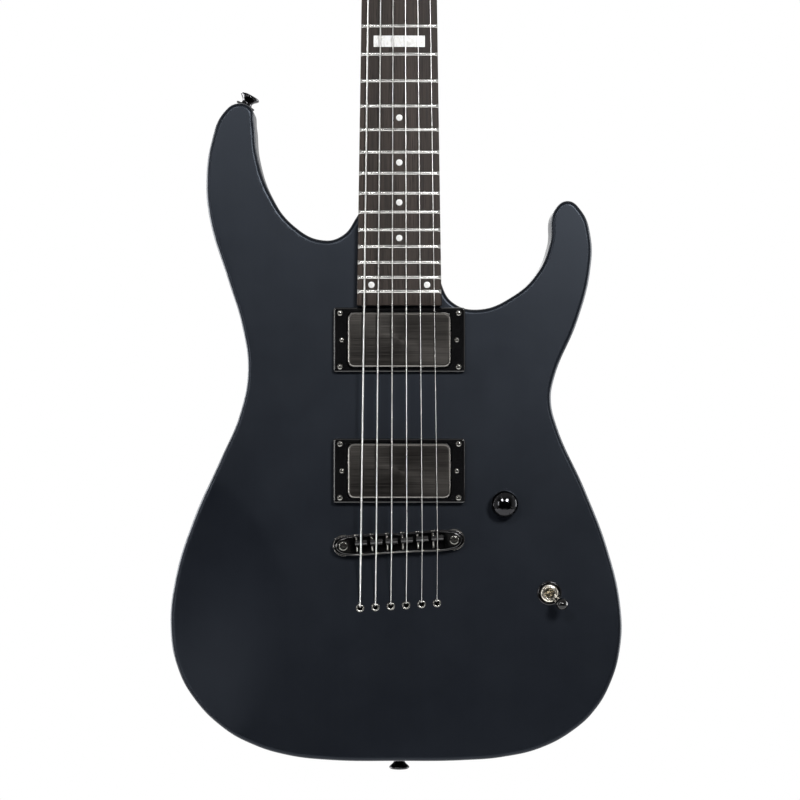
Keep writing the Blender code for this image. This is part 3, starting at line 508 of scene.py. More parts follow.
def metal(name, colour, low, high, scratches=0.05, stretch=(1, 1, 1), wear_and_glint=None):
    """Plated or bare metal with smudges, fine scratches and, if wear is given, brighter edges."""
    made = Recipe(name, metallic=1.0)
    tint = made.mottle(colour, 0.12, 180, 4)
    if wear_and_glint:
        tint = made.mix(made.worn_edges(), tint, wear_and_glint)
    made.bump(made.noise(2600, 2, stretch), scratches, 0.04 * MM)
    return made.finish(tint, made.spread(made.noise(140, 5), low, high))


def plastic(name, colour, low, high, peel=0.04, coat=0.0, index=1.5):
    """Moulded plastic with a faint flow texture and smudged gloss."""
    made = Recipe(name, IOR=index, Coat_Weight=coat, Coat_Roughness=0.08)
    tint = made.mottle(colour, 0.15, 60, 3)
    made.bump(made.noise(1800, 2), peel, 0.05 * MM)
    return made.finish(tint, made.spread(made.noise(90, 5), low, high))


def brushed_cover():
    """Dark anodised metal brushed across the strings; its rounded rim is glossier and carries a painted highlight
    as a brighter tint.
    """
    made = Recipe("brushed_dark_cover", metallic=0.9, Anisotropic=0.5)
    hairs = made.noise(1500, 4, (0.012, 1, 1), roughness=0.7)
    broad = made.noise(240, 3, (0.05, 1, 1))
    tint = made.ramp(hairs, (0.32, (0.007, 0.0065, 0.006)), (0.68, (0.030, 0.0275, 0.025)))
    bands = made.ramp(broad, (0.35, (0.006, 0.0055, 0.005)), (0.65, (0.034, 0.031, 0.028)))
    tint = made.mix(0.3, tint, bands)
    # rim is 1 on the rounded rim away from the flat face: there the tint is painted brighter as a highlight, and
    # the roughness is lower
    split = made.node("ShaderNodeSeparateXYZ", Vector=made.surface)
    rim = made.spread(split.outputs["Z"], 1, 0, 0.80, 0.97)
    tint = made.mix(rim, tint, (0.26, 0.25, 0.235))
    made.bump(hairs, 0.3, 0.05 * MM)
    return made.finish(tint, made.mix(rim, made.spread(hairs, 0.28, 0.42), (0.14, 0.14, 0.14)))


def pearl():
    """Off-white inlay with a faint swirl."""
    made = Recipe("pearl_inlay", IOR=1.53, Coat_Weight=0.4, Coat_Roughness=0.12)
    swirl = made.noise(260, 4, (1, 1, 0.6), distortion=2.2)
    tint = made.ramp(swirl, (0.35, (0.42, 0.42, 0.41)), (0.5, (0.52, 0.52, 0.505)),
                     (0.65, (0.47, 0.485, 0.505)))
    made.bump(swirl, 0.05, 0.04 * MM)
    return made.finish(tint, made.spread(swirl, 0.22, 0.34))


def string_metal(name, pitch):
    """Bright string wire; a pitch in metres winds it with ridges, with painted shade in the grooves between them.
    """
    made = Recipe(name, metallic=1.0)
    tint = made.ramp(made.noise(70, 3), (0.3, (0.72, 0.72, 0.71)), (0.7, (0.84, 0.84, 0.83)))
    if pitch:
        wave = made.node("ShaderNodeTexWave", Vector=made.place, Scale=0.314 / pitch)
        wave.wave_type = "BANDS"
        wave.bands_direction = "Z"
        ridges = wave.outputs["Fac"]
        # painted shade: the tint darkens in the grooves between the windings
        tint = made.mix(made.spread(ridges, 0.55, 0, 0, 0.5), tint, (0.25, 0.23, 0.2))
        made.bump(ridges, 0.6, 0.12 * MM)
    return made.finish(tint, made.spread(made.noise(90, 4), 0.26, 0.38))


LACQUER = lacquer()
ROSEWOOD = rosewood()
PEARL = pearl()
BLACK_METAL = metal("black_nickel", (0.030, 0.030, 0.032), 0.07, 0.14, 0.03, wear_and_glint=(0.10, 0.10, 0.10))
BLACK_SATIN = metal("black_hardware", (0.030, 0.030, 0.032), 0.13, 0.20, 0.03, wear_and_glint=(0.20, 0.195, 0.19))
DARK_NICKEL = metal("dark_nickel", (0.24, 0.235, 0.22), 0.14, 0.26, 0.06)
NICKEL = metal("warm_nickel", (0.66, 0.62, 0.54), 0.14, 0.28, 0.08)
FRET_METAL = metal("fret_wire", (0.50, 0.495, 0.475), 0.16, 0.28, 0.06, (1, 1, 0.1))
STEEL = metal("zinc_steel", (0.52, 0.52, 0.51), 0.28, 0.44, 0.1)
BRASS = metal("ball_end_brass", (0.62, 0.45, 0.2), 0.25, 0.4)
GLOSS_PLASTIC = plastic("gloss_black_plastic", (0.0022, 0.0022, 0.0025), 0.07, 0.14, coat=0.5)
TIP_PLASTIC = plastic("black_switch_tip", (0.0016, 0.0016, 0.0018), 0.07, 0.13, index=1.45)
COVER_PLASTIC = plastic("matt_black_plastic", (0.006, 0.006, 0.0065), 0.42, 0.55, peel=0.35)
NUT_PLASTIC = plastic("graphite_nut", (0.016, 0.016, 0.017), 0.32, 0.45, peel=0.15)
FELT = plastic("black_felt", (0.010, 0.010, 0.010), 0.9, 1.0, peel=1.0)
BRUSHED = brushed_cover()
PLAIN_STRING = string_metal("plain_string", 0)
WOUND_STRING = string_metal("wound_string", 0.30 * MM)
BATTERY_CAN = metal("battery_can", (0.16, 0.16, 0.18), 0.3, 0.45)


# ---- small hardware ----
def screw_mesh(name, head_radius, head_height, shank_radius, length, dome=0.5):
    """A cross-head screw with its head's underside at local Z = 0 and its shank down -Z."""
    top = head_height
    profile = [(0, top), (head_radius * 0.55, top - dome * 0.25), (head_radius * 0.9, top - dome),
               (head_radius, top - dome - 0.12), (head_radius, 0), (shank_radius, 0)]
    pitch = max(0.5, shank_radius * 0.55)
    height = -pitch
    while height - pitch > -length + shank_radius:
        profile += [(shank_radius, height), (shank_radius * 0.82, height - pitch / 2)]
        height -= pitch
    profile += [(shank_radius * 0.8, height), (0, -length)]
    screw = lathe(name, profile, segments=32, soften=0.12)
    arm, width, deep = head_radius * 0.62 * MM, head_radius * 0.13 * MM, head_height * 0.75 * MM
    low, high = top * MM - deep, (top + 1) * MM
    cut(screw, box("slot", (-arm, -width, low), (arm, width, high)),
        box("slot", (-width, -arm, low), (width, arm, high)))
    mesh = screw.data
    bpy.data.objects.remove(screw)
    return mesh


def place_screw(name, mesh, matrix, material, body=ROOT, replaces=()):
    screw = show(bpy.data.objects.new(name, mesh))
    screw.matrix_world = matrix
    dress(screw, material, "black_metal", body, replaces)


def out_of_front(x, y, z, angle=0.0):
    """A place on the front with local Z pointing out of it, turned about that Z by an angle."""
    return facing_front(y, x, z) @ spun(angle)


def out_of_back(x, y, z, angle=0.0):
    return aimed((x, y, z), (0, 1, 0)) @ spun(angle)


def joint_place(name):
    return Vector(JOINTS[name]["pos_m"])


def joint_axis(name):
    return Vector(JOINTS[name]["axis"]).normalized()


def middle(node):
    low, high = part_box(node)
    return (low + high) / 2


def from_axes(origin, x_axis, z_axis):
    y_axis = z_axis.cross(x_axis)
    rotation = Matrix((x_axis, y_axis, z_axis)).transposed().to_4x4()
    return Matrix.Translation(origin) @ rotation


# ---- layout of the strings ----
def crown(x):
    return BOARD_RADIUS - math.sqrt(BOARD_RADIUS**2 - x**2)


def board_half(z):
    share = (z - BOARD_END_Z) / (NUT_Z - BOARD_END_Z)
    return BOARD_HALF_AT_END + share * (BOARD_HALF_AT_NUT - BOARD_HALF_AT_END)


def fret_z(number):
    return SCALE_END_Z + SCALE_LENGTH * 2 ** (-number / 12)


def spread_x(number, half):
    return half * (1 - 2 * (number - 1) / (len(STRINGS) - 1))


BRIDGE_ACROSS = joint_axis("saddle_1_slide")
BRIDGE_ALONG = Vector((BRIDGE_ACROSS.z, 0, -BRIDGE_ACROSS.x))
BRIDGE_MIDDLE = (joint_place("bridge_post_bass_turn") + joint_place("bridge_post_treble_turn")) / 2
BRIDGE_FRAME = Matrix.Translation((BRIDGE_MIDDLE.x, 0, BRIDGE_MIDDLE.z)) @ Matrix(
    (BRIDGE_ALONG, (0, 1, 0), BRIDGE_ACROSS)
).transposed().to_4x4()
POST_HALF_SPACING = (joint_place("bridge_post_treble_turn") - BRIDGE_MIDDLE).length


def saddle_line(number):
    """Where a string's underside breaks over its saddle."""
    across = (1.6 + 0.5 * (len(STRINGS) - number) / (len(STRINGS) - 1)) * MM
    x = spread_x(number, HALF_SPREAD_BRIDGE)
    along = (x - BRIDGE_MIDDLE.x) / BRIDGE_ALONG.x
    z = BRIDGE_MIDDLE.z + along * BRIDGE_ALONG.z + across * BRIDGE_ACROSS.z
    return Vector((x, BOARD_TOP_Y - STRING_LIFT_BRIDGE + crown(x), z))


def nut_line(number):
    """Where a string's underside leaves the nut."""
    x = spread_x(number, HALF_SPREAD_NUT)
    return Vector((x, BOARD_TOP_Y - STRING_LIFT_NUT + crown(x), NUT_Z))


def eyelet_at(number):
    x = spread_x(number, HALF_SPREAD_EYELETS) - 0.5 * MM
    return x, 115 * MM + x * math.tan(math.radians(3.6))


def tuner_frame(number):
    """Origin on the headstock's face, Z along the post, X out along the button's shaft."""
    post, button = f"tuner_post_{number}_turn", f"tuner_button_{number}_turn"
    return from_axes(joint_place(post), joint_axis(button), joint_axis(post))


HEAD_NORMAL = joint_axis("tuner_post_1_turn")
HEAD_FRAME = from_axes(Vector((0, NECK_TOP_Y, HEAD_START_Z)), Vector((1, 0, 0)), HEAD_NORMAL)
HEAD_TILT = HEAD_NORMAL.angle(Vector((0, -1, 0)))


# ---- body ----
def neck_screw_places():
    return [(x * MM, z * MM) for x in (-18.5, 18.5) for z in (327, 371)]


def contour_depth(x, z, contour):
    """How deep a contour dishes the body at a place, easing in from its rim."""
    centre_x, centre_z, reach, depth, _ = contour
    away = math.hypot(x / MM - centre_x, z / MM - centre_z) / reach
    return depth * MM * max(0.0, 1 - away * away) ** 1.5


def slice_for_contours(obj):
    """Adds a fine grid to the bass side of both faces, so that the contours can bend it."""
    bm = bmesh.new()
    bm.from_mesh(obj.data)
    limit = -34 * MM

    def slice_at(place, normal):
        near = [v for v in bm.verts if v.co.x <= limit + 1e-6]
        inside = set(near)
        edges = [e for e in bm.edges if e.verts[0] in inside and e.verts[1] in inside]
        faces = [f for f in bm.faces if all(v in inside for v in f.verts)]
        bmesh.ops.bisect_plane(bm, geom=near + edges + faces, plane_co=place, plane_no=normal, dist=1e-7)

    bmesh.ops.bisect_plane(bm, geom=bm.verts[:] + bm.edges[:] + bm.faces[:], plane_co=(limit, 0, 0),
                           plane_no=(1, 0, 0), dist=1e-7)
    for step in range(31):
        slice_at((limit - (step + 1) * 4 * MM, 0, 0), (1, 0, 0))
    for step in range(80):
        slice_at((0, 0, (8 + step * 5) * MM), (0, 0, 1))
    for vertex in bm.verts:
        front_share = (BACK_Y - vertex.co.y) / BODY_THICKNESS
        x, z = vertex.co.x, vertex.co.z
        vertex.co.y += contour_depth(x, z, ARM_CONTOUR) * front_share
        vertex.co.y -= contour_depth(x, z, BELLY_CONTOUR) * (1 - front_share)
    bm.to_mesh(obj.data)
    bm.free()


def cavity_corners(grow):
    """The rear cavity's corners, moved grow mm away from its middle."""
    corners = [Vector(point) * MM for point in CONTROL_CAVITY]
    centre = sum(corners, Vector((0, 0))) / len(corners)
    return [point + (point - centre).normalized() * grow * MM for point in corners]


def cavity_loop(grow, corner):
    return rounded(cavity_corners(grow), corner * MM, 8, closed=True)


def along_y(name, x, z, front, back, radius, segments=32):
    return rod(name, (x, front, z), (x, back, z), radius, segments)


def body_cutters():
    """The neck pocket, routs, cavity and holes. Each starts clear of the surface that it enters."""
    well_before, before, behind = FRONT_Y - 5 * MM, FRONT_Y - 1 * MM, BACK_Y + 1 * MM
    rings = []
    for z in (BOARD_END_Z, HEEL_TOP_Z + 10 * MM):
        half = board_half(z) + GAP
        rings.append([(-half, well_before, z), (half, well_before, z),
                      (half, POCKET_FLOOR_Y, z), (-half, POCKET_FLOOR_Y, z)])
    yield loft("pocket", rings)
    for name in ("neck", "bridge"):
        z = middle(f"pickup_{name}").z
        yield box("rout", (-37.2 * MM, well_before, z - 20.4 * MM), (37.2 * MM, -5 * MM, z + 20.4 * MM))
        yield box("ears", (-43 * MM, well_before, z - 8 * MM), (43 * MM, -3 * MM, z + 8 * MM))
    depth = BACK_Y + 21 * MM
    yield plate("cavity", cavity_loop(0, 8), depth, matrix=facing_front(BACK_Y + 5 * MM - depth / 2))
    ledge = 2.2 * MM + GAP
    yield plate("ledge", cavity_loop(COVER_LEDGE + 0.3, 10), 2 * ledge, matrix=facing_front(BACK_Y))
    for control, radius in (("volume_turn", 4.4), ("toggle_tilt", 6.3)):
        spot = joint_place(control)
        yield along_y("control_hole", spot.x, spot.z, before, -14 * MM, radius * MM)
    edge_x, jack_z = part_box("jack_cup")[1].x, middle("jack_cup").z
    yield rod("jack_seat", (edge_x - 9.3 * MM, 0, jack_z), (edge_x + 6 * MM, 0, jack_z), 11.3 * MM, 64)
    yield rod("jack_bore", (125 * MM, 0, jack_z), (edge_x, 0, jack_z), 8.3 * MM, 32)
    for side in (-1, 1):
        spot = BRIDGE_FRAME @ Vector((side * POST_HALF_SPACING, 0, 0))
        yield along_y("post_hole", spot.x, spot.z, before, -2 * MM, 5.2 * MM)
    for number in STRINGS:
        x, z = eyelet_at(number)
        yield along_y("string_hole", x, z, before, behind, 1.7 * MM, 20)
        yield along_y("eyelet_seat", x, z, before, FRONT_Y + 4 * MM, 2.4 * MM, 24)
        yield along_y("ferrule_seat", x, z, 10 * MM, behind, 3.9 * MM, 32)
    for x, z in neck_screw_places():
        yield along_y("neck_screw_hole", x, z, POCKET_FLOOR_Y - 1 * MM, behind, 2.6 * MM, 20)


def make_body():
    body = plate("guitar_body", curve_loop(BODY_OUTLINE, 10), BODY_THICKNESS, BODY_EDGE_RADIUS, 6)
    body.data.transform(facing_front((FRONT_Y + BACK_Y) / 2))
    slice_for_contours(body)
    cut(body, *body_cutters())
    dress(body, LACQUER, "black_lacquer", replaces=("body",), sharp=38, weighted=True)


def make_control_cover():
    loop = cavity_loop(COVER_LEDGE, 10)
    cover = plate("rear_cover", loop, 2.1 * MM, 0.35 * MM, 2, facing_front(BACK_Y - 1.1 * MM))
    spots = cavity_corners(1.2)
    sinks = [along_y("sink", spot.x, spot.y, BACK_Y - 1.3 * MM, BACK_Y + 1 * MM, 2.5 * MM) for spot in spots]
    holes = [along_y("hole", spot.x, spot.y, BACK_Y - 4 * MM, BACK_Y + 1 * MM, 1.3 * MM) for spot in spots]
    cut(cover, *sinks, *holes)
    dress(cover, COVER_PLASTIC, "black_plastic", replaces=("control_cover",), weighted=True)
    mesh = screw_mesh("cover_screw", 2.3, 1.0, 1.1, 9)
    for number, spot in enumerate(spots, start=1):
        place = out_of_back(spot.x, BACK_Y - 1.25 * MM, spot.y, number)
        place_screw(f"cover_screw_{number}", mesh, place, BLACK_SATIN)


# ---- neck ----
def neck_ring(half, depth, squareness, top_round):
    """A section in mm, X across and Y back from the top face: flat on top, rounded behind."""
    side, top_steps, back_steps = 2.5, 4, 20
    arc = []
    for step in range(top_steps + 1):
        angle = math.radians(90 * step / top_steps)
        arc.append((half - top_round + top_round * math.sin(angle), top_round * (1 - math.cos(angle))))
    for step in range(back_steps + 1):
        angle = math.pi / 2 * step / back_steps
        c, s = math.cos(angle) ** (2 / squareness), math.sin(angle) ** (2 / squareness)
        arc.append((half * c, side + (depth - side) * s))
    return arc[:-1] + [(-x, y) for x, y in reversed(arc)]


def blended(table, at):
    """Values from a table of (position, values...) rows, eased between rows."""
    if at <= table[0][0]:
        return table[0][1:]
    for low, high in zip(table, table[1:]):
        if at <= high[0]:
            t = (at - low[0]) / (high[0] - low[0])
            t = t * t * (3 - 2 * t)
            return [a + (b - a) * t for a, b in zip(low[1:], high[1:])]
    return table[-1][1:]


def head_width_at(loop, y):
    """The headstock's leftmost and rightmost X at a distance above the nut."""
    hits = []
    for (x1, y1), (x2, y2) in zip(loop, loop[1:] + loop[:1]):
        if (y1 - y) * (y2 - y) <= 0 and y1 != y2:
            hits.append(x1 + (x2 - x1) * (y - y1) / (y2 - y1))
    return min(hits), max(hits)


def neck_stations(nut_end, tip):
    """Where the neck's sections stand, in mm up from the body's foot: closest where its shape changes."""
    stations = [BOARD_END_Z / MM + 0.3 + 3.4 * i for i in range(22)]
    stations += [392 + 2 * i for i in range(25)] + [442 + 8 * i for i in range(43)]
    stations += [786 + 2 * i for i in range(17)]
    stations = [s for s in stations if s < nut_end] + [nut_end + 0.01]
    stations += [nut_end + 2 * i for i in range(1, 85)]
    last = stations[-1] - nut_end
    return stations + [nut_end + last + (tip - last) * math.sin(math.pi / 2 * i / 22) for i in range(1, 22)]


def neck_rings():
    """Sections from the heel to the headstock's tip."""
    heel_depth = (POCKET_FLOOR_Y - GAP - NECK_TOP_Y) / MM
    # height, depth, squareness, radius of the top edges
    shape = [
        (320, heel_depth, 16.0, 0.05), (391, heel_depth, 16.0, 0.05), (398, heel_depth - 2.4, 7.0, 0.05),
        (408, 17.6, 3.2, 0.05), (422, 16.0, 2.4, 0.05), (440, 15.4, 2.2, 0.05), (560, 14.6, 2.2, 0.05),
        (700, 13.9, 2.2, 0.05), (790, 13.4, 2.2, 0.05), (806, 13.6, 2.4, 0.05), (816, 14.4, 3.4, 0.05),
        (824, 14.6, 7.0, 0.3), (836, 14.5, 14.0, 1.2), (1100, 14.5, 14.0, 1.2),
    ]
    nut_end = HEAD_START_Z / MM
    loop = [(x / MM, y / MM) for x, y in curve_loop(HEAD_OUTLINE, 14, (0, len(HEAD_OUTLINE) - 1))]
    tip = max(y for _, y in loop)
    rings = []
    for at in neck_stations(nut_end, tip):
        depth, squareness, top_round = blended(shape, at)
        beyond = at - nut_end
        bend = min(1.0, max(0.0, (beyond + 12) / 24))
        tilt = HEAD_TILT * bend * bend * (3 - 2 * bend)
        near_tip = 0.0
        if beyond > 0:
            left, right = head_width_at(loop, min(beyond, tip - 0.02))
            left, right = max(-left, -right + 0.5), max(right, left + 0.5)
            origin = HEAD_FRAME @ Vector((0, beyond * MM, 0))
            near_tip = max(0.0, 1 - (tip - beyond) / top_round)
        else:
            left = right = board_half(at * MM) / MM
            origin = Vector((0, NECK_TOP_Y, at * MM))
        inset = top_round * (1 - math.sqrt(max(0.0, 1 - near_tip * near_tip)))
        across, back = Vector((1, 0, 0)), Vector((0, math.cos(tilt), -math.sin(tilt)))
        middle_x, half = (right - left) / 2, (right + left) / 2
        section = neck_ring(half, depth, squareness, min(top_round, half * 0.9))
        shrink = (depth - 2 * inset) / depth
        ring = []
        for x, y in section:
            ring.append(tuple(origin + (across * (x + middle_x) + back * (inset + y * shrink)) * MM))
        rings.append(ring)
    return rings


def make_neck():
    neck = loft("neck_wood", neck_rings())
    rod_y = NECK_TOP_Y + 5 * MM
    cutters = []
    for half, depth, low_z, high_z in ((3.5, 3.6, 342, 812), (6, 5.2, 811, 845)):
        low = (-half * MM, NECK_TOP_Y - 2 * MM, low_z * MM)
        cutters.append(box("rod_room", low, (half * MM, rod_y + depth * MM, high_z * MM)))
    for x, z in neck_screw_places():
        cutters.append(along_y("bore", x, z, -21 * MM, 0, 2.6 * MM, 20))
    for number in STRINGS:
        cutters.append(lathe("bore", [(0, 5), (5.0, 5), (5.0, -20), (0, -20)], tuner_frame(number), 32, 0))
    cut(neck, *cutters)
    dress(neck, LACQUER, "black_lacquer", replaces=("neck",), sharp=38, weighted=True)


def board_ring(z, inset=0.0):
    """The fingerboard's crowned section with eased upper edges."""
    half = board_half(z) - inset
    bottom = NECK_TOP_Y - GAP
    ring = [(half, bottom, z), (-half, bottom, z)]
    ease = 0.7 * MM
    for sign in (-1, 1):
        arc = []
        for step in range(4):
            angle = math.radians(90 * step / 3)
            x = half - ease + ease * math.cos(angle)
            arc.append((sign * x, BOARD_TOP_Y + crown(half) + inset + ease * (1 - math.sin(angle)), z))
        flat = [sign * (half - ease) * (1 - step / 8) for step in range(1, 8)]
        arc += [(x, BOARD_TOP_Y + crown(x) + inset, z) for x in flat]
        if sign > 0:
            arc = [(0, BOARD_TOP_Y + inset, z)] + arc[::-1]
        ring += arc
    return ring


def make_fingerboard():
    top = NUT_Z - GAP
    start = BOARD_END_Z + 0.6 * MM
    rings = [board_ring(BOARD_END_Z, 0.5 * MM), board_ring(BOARD_END_Z + 0.2 * MM, 0.15 * MM)]
    rings += [board_ring(start + (top - start) * i / 60) for i in range(61)]
    dress(loft("board", rings), ROSEWOOD, "fingerboard_wood", replaces=("fingerboard",), sharp=50)


def make_frets():
    """Each fret is a crowned wire with bevelled ends."""
    crown_shape = [(-1.35, -0.4), (-1.35, 0.12), (-1.05, 0.62), (-0.62, 1.0), (0, 1.16), (0.62, 1.0),
                   (1.05, 0.62), (1.35, 0.12), (1.35, -0.4)]
    ends = [(0, 0.16), (0.25, 0.34), (1.25, 0.86), (1.8, 1.0)]  # mm from the end, share of the height
    for number in range(1, FRET_COUNT + 1):
        z = fret_z(number)
        half = board_half(z) - 0.12 * MM
        stops = [(-half + step * MM, lift) for step, lift in ends]
        stops += [(-half + 2.4 * MM + (2 * half - 4.8 * MM) * i / 12, 1.0) for i in range(13)]
        stops += [(half - step * MM, lift) for step, lift in reversed(ends)]
        rings = []
        for x, lift in stops:
            surface = BOARD_TOP_Y + crown(x)
            rings.append([(x, surface - (up * lift if up > 0 else up) * MM, z + across * MM)
                          for across, up in crown_shape])
        dress(loft(f"fret_{number}", rings), FRET_METAL, "steel", sharp=40)


def behind_fret(number):
    """Halfway between a fret and the one before it."""
    return (fret_z(number) + fret_z(number - 1)) / 2


def make_inlays():
    """Round markers, and one plain block before the twelfth fret."""
    spots = [(0.0, behind_fret(number)) for number in SINGLE_DOTS]
    spots += [(side * 19 * MM, fret_z(DOUBLE_DOT_FRET) + 4.4 * MM) for side in (-1, 1)]
    face_dot = [(0, 0.05), (2.15, 0.03), (2.15, -1.5), (0, -1.5)]
    for index, (x, z) in enumerate(spots, start=1):
        lean = Matrix.Rotation(math.asin(x / BOARD_RADIUS), 4, "Y")
        place = out_of_front(x, BOARD_TOP_Y + crown(x), z) @ lean
        turned(f"dot_{index}", face_dot, place, PEARL, "inlay_pearl", 32, 0.05)
    z = behind_fret(BLOCK_FRET) - 0.9 * MM
    half, tall, thick = 17.5 * MM, 3.85 * MM, 1.5 * MM
    rings = []
    for step in range(13):
        x = -half + 2 * half * step / 12
        top = BOARD_TOP_Y + crown(x) - 0.05 * MM
        rings.append([(x, top, z - tall), (x, top, z + tall),
                      (x, top + thick, z + tall), (x, top + thick, z - tall)])
    dress(loft("block_inlay", rings), PEARL, "inlay_pearl")
    side_spots = [(number, 0) for number in SINGLE_DOTS]
    side_spots += [(number, shift) for number in (BLOCK_FRET, DOUBLE_DOT_FRET) for shift in (-1.8, 1.8)]
    side_dot = [(0, 0.05), (1.0, 0.04), (1.0, -1.2), (0, -1.2)]
    for index, (number, shift) in enumerate(side_spots, start=1):
        z = behind_fret(number) + shift * MM
        place = aimed((-board_half(z), BOARD_TOP_Y + 3.3 * MM, z), (-1, 0, 0))
        turned(f"side_dot_{index}", side_dot, place, PEARL, "inlay_pearl", 20, 0.04)


def make_nut():
    """Arched like the board, rounded on top, with a round-bottomed slot for each string."""
    low_z, high_z, bottom = NUT_LOW.z, NUT_HIGH.z, NUT_HIGH.y
    rings = []
    for step in range(25):
        x = -BOARD_HALF_AT_NUT + 2 * BOARD_HALF_AT_NUT * step / 24
        top = NUT_LOW.y + crown(x)
        section = [(bottom, low_z), (bottom, high_z), (top + 1.2 * MM, high_z),
                   (top + 0.25 * MM, high_z - 1.2 * MM), (top, (low_z + high_z) / 2), (top, low_z)]
        rings.append([(x, y, z) for y, z in section])
    nut = bevel(loft("string_nut", rings), 0.3 * MM, 2)
    slots = []
    for number, diameter in zip(STRINGS, STRING_DIAMETERS):
        start = nut_line(number) - Vector((0, diameter / 2, 0))
        reach = (coil_points(number, diameter / 2)[0] - start).normalized()
        radius = diameter / 2 + 0.08 * MM
        slots.append(rod("slot", start - reach * 4 * MM, start + reach * 9 * MM, radius, 20))
        half = Vector((radius, 0, 0))
        low = start - half - Vector((0, 3 * MM, 2 * MM))
        slots.append(box("slot_mouth", low, start + half + Vector((0, 0, 9 * MM))))
    cut(nut, *slots)
    dress(nut, NUT_PLASTIC, "nut_plastic", replaces=("nut",), sharp=30, weighted=True)


def make_rod_cover():
    outline = [(-8.5, 1.5), (8.5, 1.5), (10, 28), (6, 42), (-6, 42), (-10, 28)]
    loop = curve_loop(outline, 14, (0, 1))
    cover = plate("rod_cover", loop, 1.8 * MM, 0.5 * MM, 3, HEAD_FRAME @ moved(0, 0, 0.9 * MM + GAP))
    mesh = screw_mesh("rod_cover_screw", 2.2, 0.9, 1.0, 9)
    dress(cover, GLOSS_PLASTIC, "black_plastic", replaces=("truss_rod_cover",))
    for number, y in enumerate((6, 36), start=1):
        place = HEAD_FRAME @ moved(0, y * MM, 2.12 * MM) @ spun(number)
        place_screw(f"rod_cover_screw_{number}", mesh, place, BLACK_METAL)


def make_neck_plate():
    low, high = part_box("neck_plate")
    centre = (low + high) / 2
    loop = rectangle(high.x - low.x, high.z - low.z, 6 * MM, 8)
    joint = plate("bolt_plate", loop, high.y - low.y, 0.4 * MM, 3, facing_front(centre.y, 0, centre.z))
    before, behind = low.y - 1 * MM, high.y + 1 * MM
    cut(joint, *[along_y("hole", x, z, before, behind, 2.6 * MM) for x, z in neck_screw_places()])
    dress(joint, BLACK_METAL, "black_metal", replaces=("neck_plate",), weighted=True)
    mesh = screw_mesh("neck_screw", 4.3, 2.6, 2.2, 42, 1.4)
    for number, (x, z) in enumerate(neck_screw_places(), start=1):
        place = out_of_back(x, high.y + 0.1 * MM, z, 0.7 * number)
        place_screw(f"neck_bolt_{number}", mesh, place, BLACK_METAL, replaces=(f"neck_screw_{number}",))


# ---- strings ----
def coil_points(number, radius, per_turn=24, turns=2):
    """A string's windings round its post, rising from the headstock."""
    post = HEAD_FRAME.inverted() @ tuner_frame(number).translation
    reach = POST_WAIST_RADIUS + GAP + radius
    pitch = 2 * radius + 0.15 * MM
    points = []
    for i in range(turns * per_turn + 1):
        angle = 2 * math.pi * i / per_turn
        rise = 4.9 * MM + pitch * i / per_turn
        spot = (post.x + reach * math.cos(angle), post.y + reach * math.sin(angle), rise)
        points.append(HEAD_FRAME @ Vector(spot))
    return points


def soft_corner(before, corner, after, reach, steps=6):
    """A short curve in place of a sharp corner."""
    start = corner + (before - corner).normalized() * reach
    end = corner + (after - corner).normalized() * reach
    curve = []
    for step in range(steps + 1):
        t = step / steps
        curve.append(start * (1 - t) ** 2 + corner * 2 * t * (1 - t) + end * t * t)
    return curve


def between(start, end, step):
    """Evenly spaced points from start to end, without the last."""
    count = max(1, round((end - start).length / step))
    return [start.lerp(end, i / count) for i in range(count)]


def make_string(number, diameter):
    """Three lengths: from above the bridge to the tuner, over the saddle, and down to the ball end."""
    radius = diameter / 2
    inner = radius * 0.985  # the thinner of two lengths that overlap lies inside the other
    material = WOUND_STRING if number in WOUND_STRINGS else PLAIN_STRING
    lift = Vector((0, -radius, 0))
    saddle, nut = saddle_line(number) + lift, nut_line(number) + lift
    x, z = eyelet_at(number)
    lean = 0.5 * MM
    mouth = Vector((x, FRONT_Y - 0.75 * MM, z + lean + 0.45 * MM))
    inside = Vector((x, FRONT_Y + 4 * MM, z + lean))
    ball = Vector((x, 15.8 * MM, z))
    up = (nut - saddle).normalized()
    meet = saddle + up * 10 * MM
    halfway = saddle.lerp(mouth, 0.5)
    coil = coil_points(number, radius)
    leave = (coil[0] - nut).normalized()

    def length(part, points, radii, replaces=()):
        piece = tube(f"string_{number}_{part}", points, radii)
        return dress(piece, material, "steel", None, replaces, sharp=80)

    speaking = between(meet, nut - up * 3 * MM, 20 * MM)
    speaking += soft_corner(meet, nut, coil[0], 1.2 * MM)
    speaking += between(nut + leave * 2 * MM, coil[0] - leave * 4 * MM, 12 * MM) + coil
    piece = length("speaking", speaking, [radius] * len(speaking), (f"string_{number}",))
    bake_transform(piece)
    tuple(nut)
    over = [saddle + up * 14 * MM, saddle + up * 7 * MM]
    over += soft_corner(over[-1], saddle, mouth, 0.9 * MM)
    over += between(saddle.lerp(mouth, 0.06), halfway, 5 * MM) + [halfway]
    piece = length("over_saddle", over, [inner] * 2 + [radius] * (len(over) - 2))
    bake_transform(piece)
    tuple(saddle)
    tail = between(saddle.lerp(mouth, 0.44), mouth, 5 * MM)
    tail += soft_corner(saddle, mouth, inside, 0.7 * MM) + between(inside, ball, 6 * MM) + [ball]
    piece = length("tail", tail, [inner] * len(tail))
    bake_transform(piece)


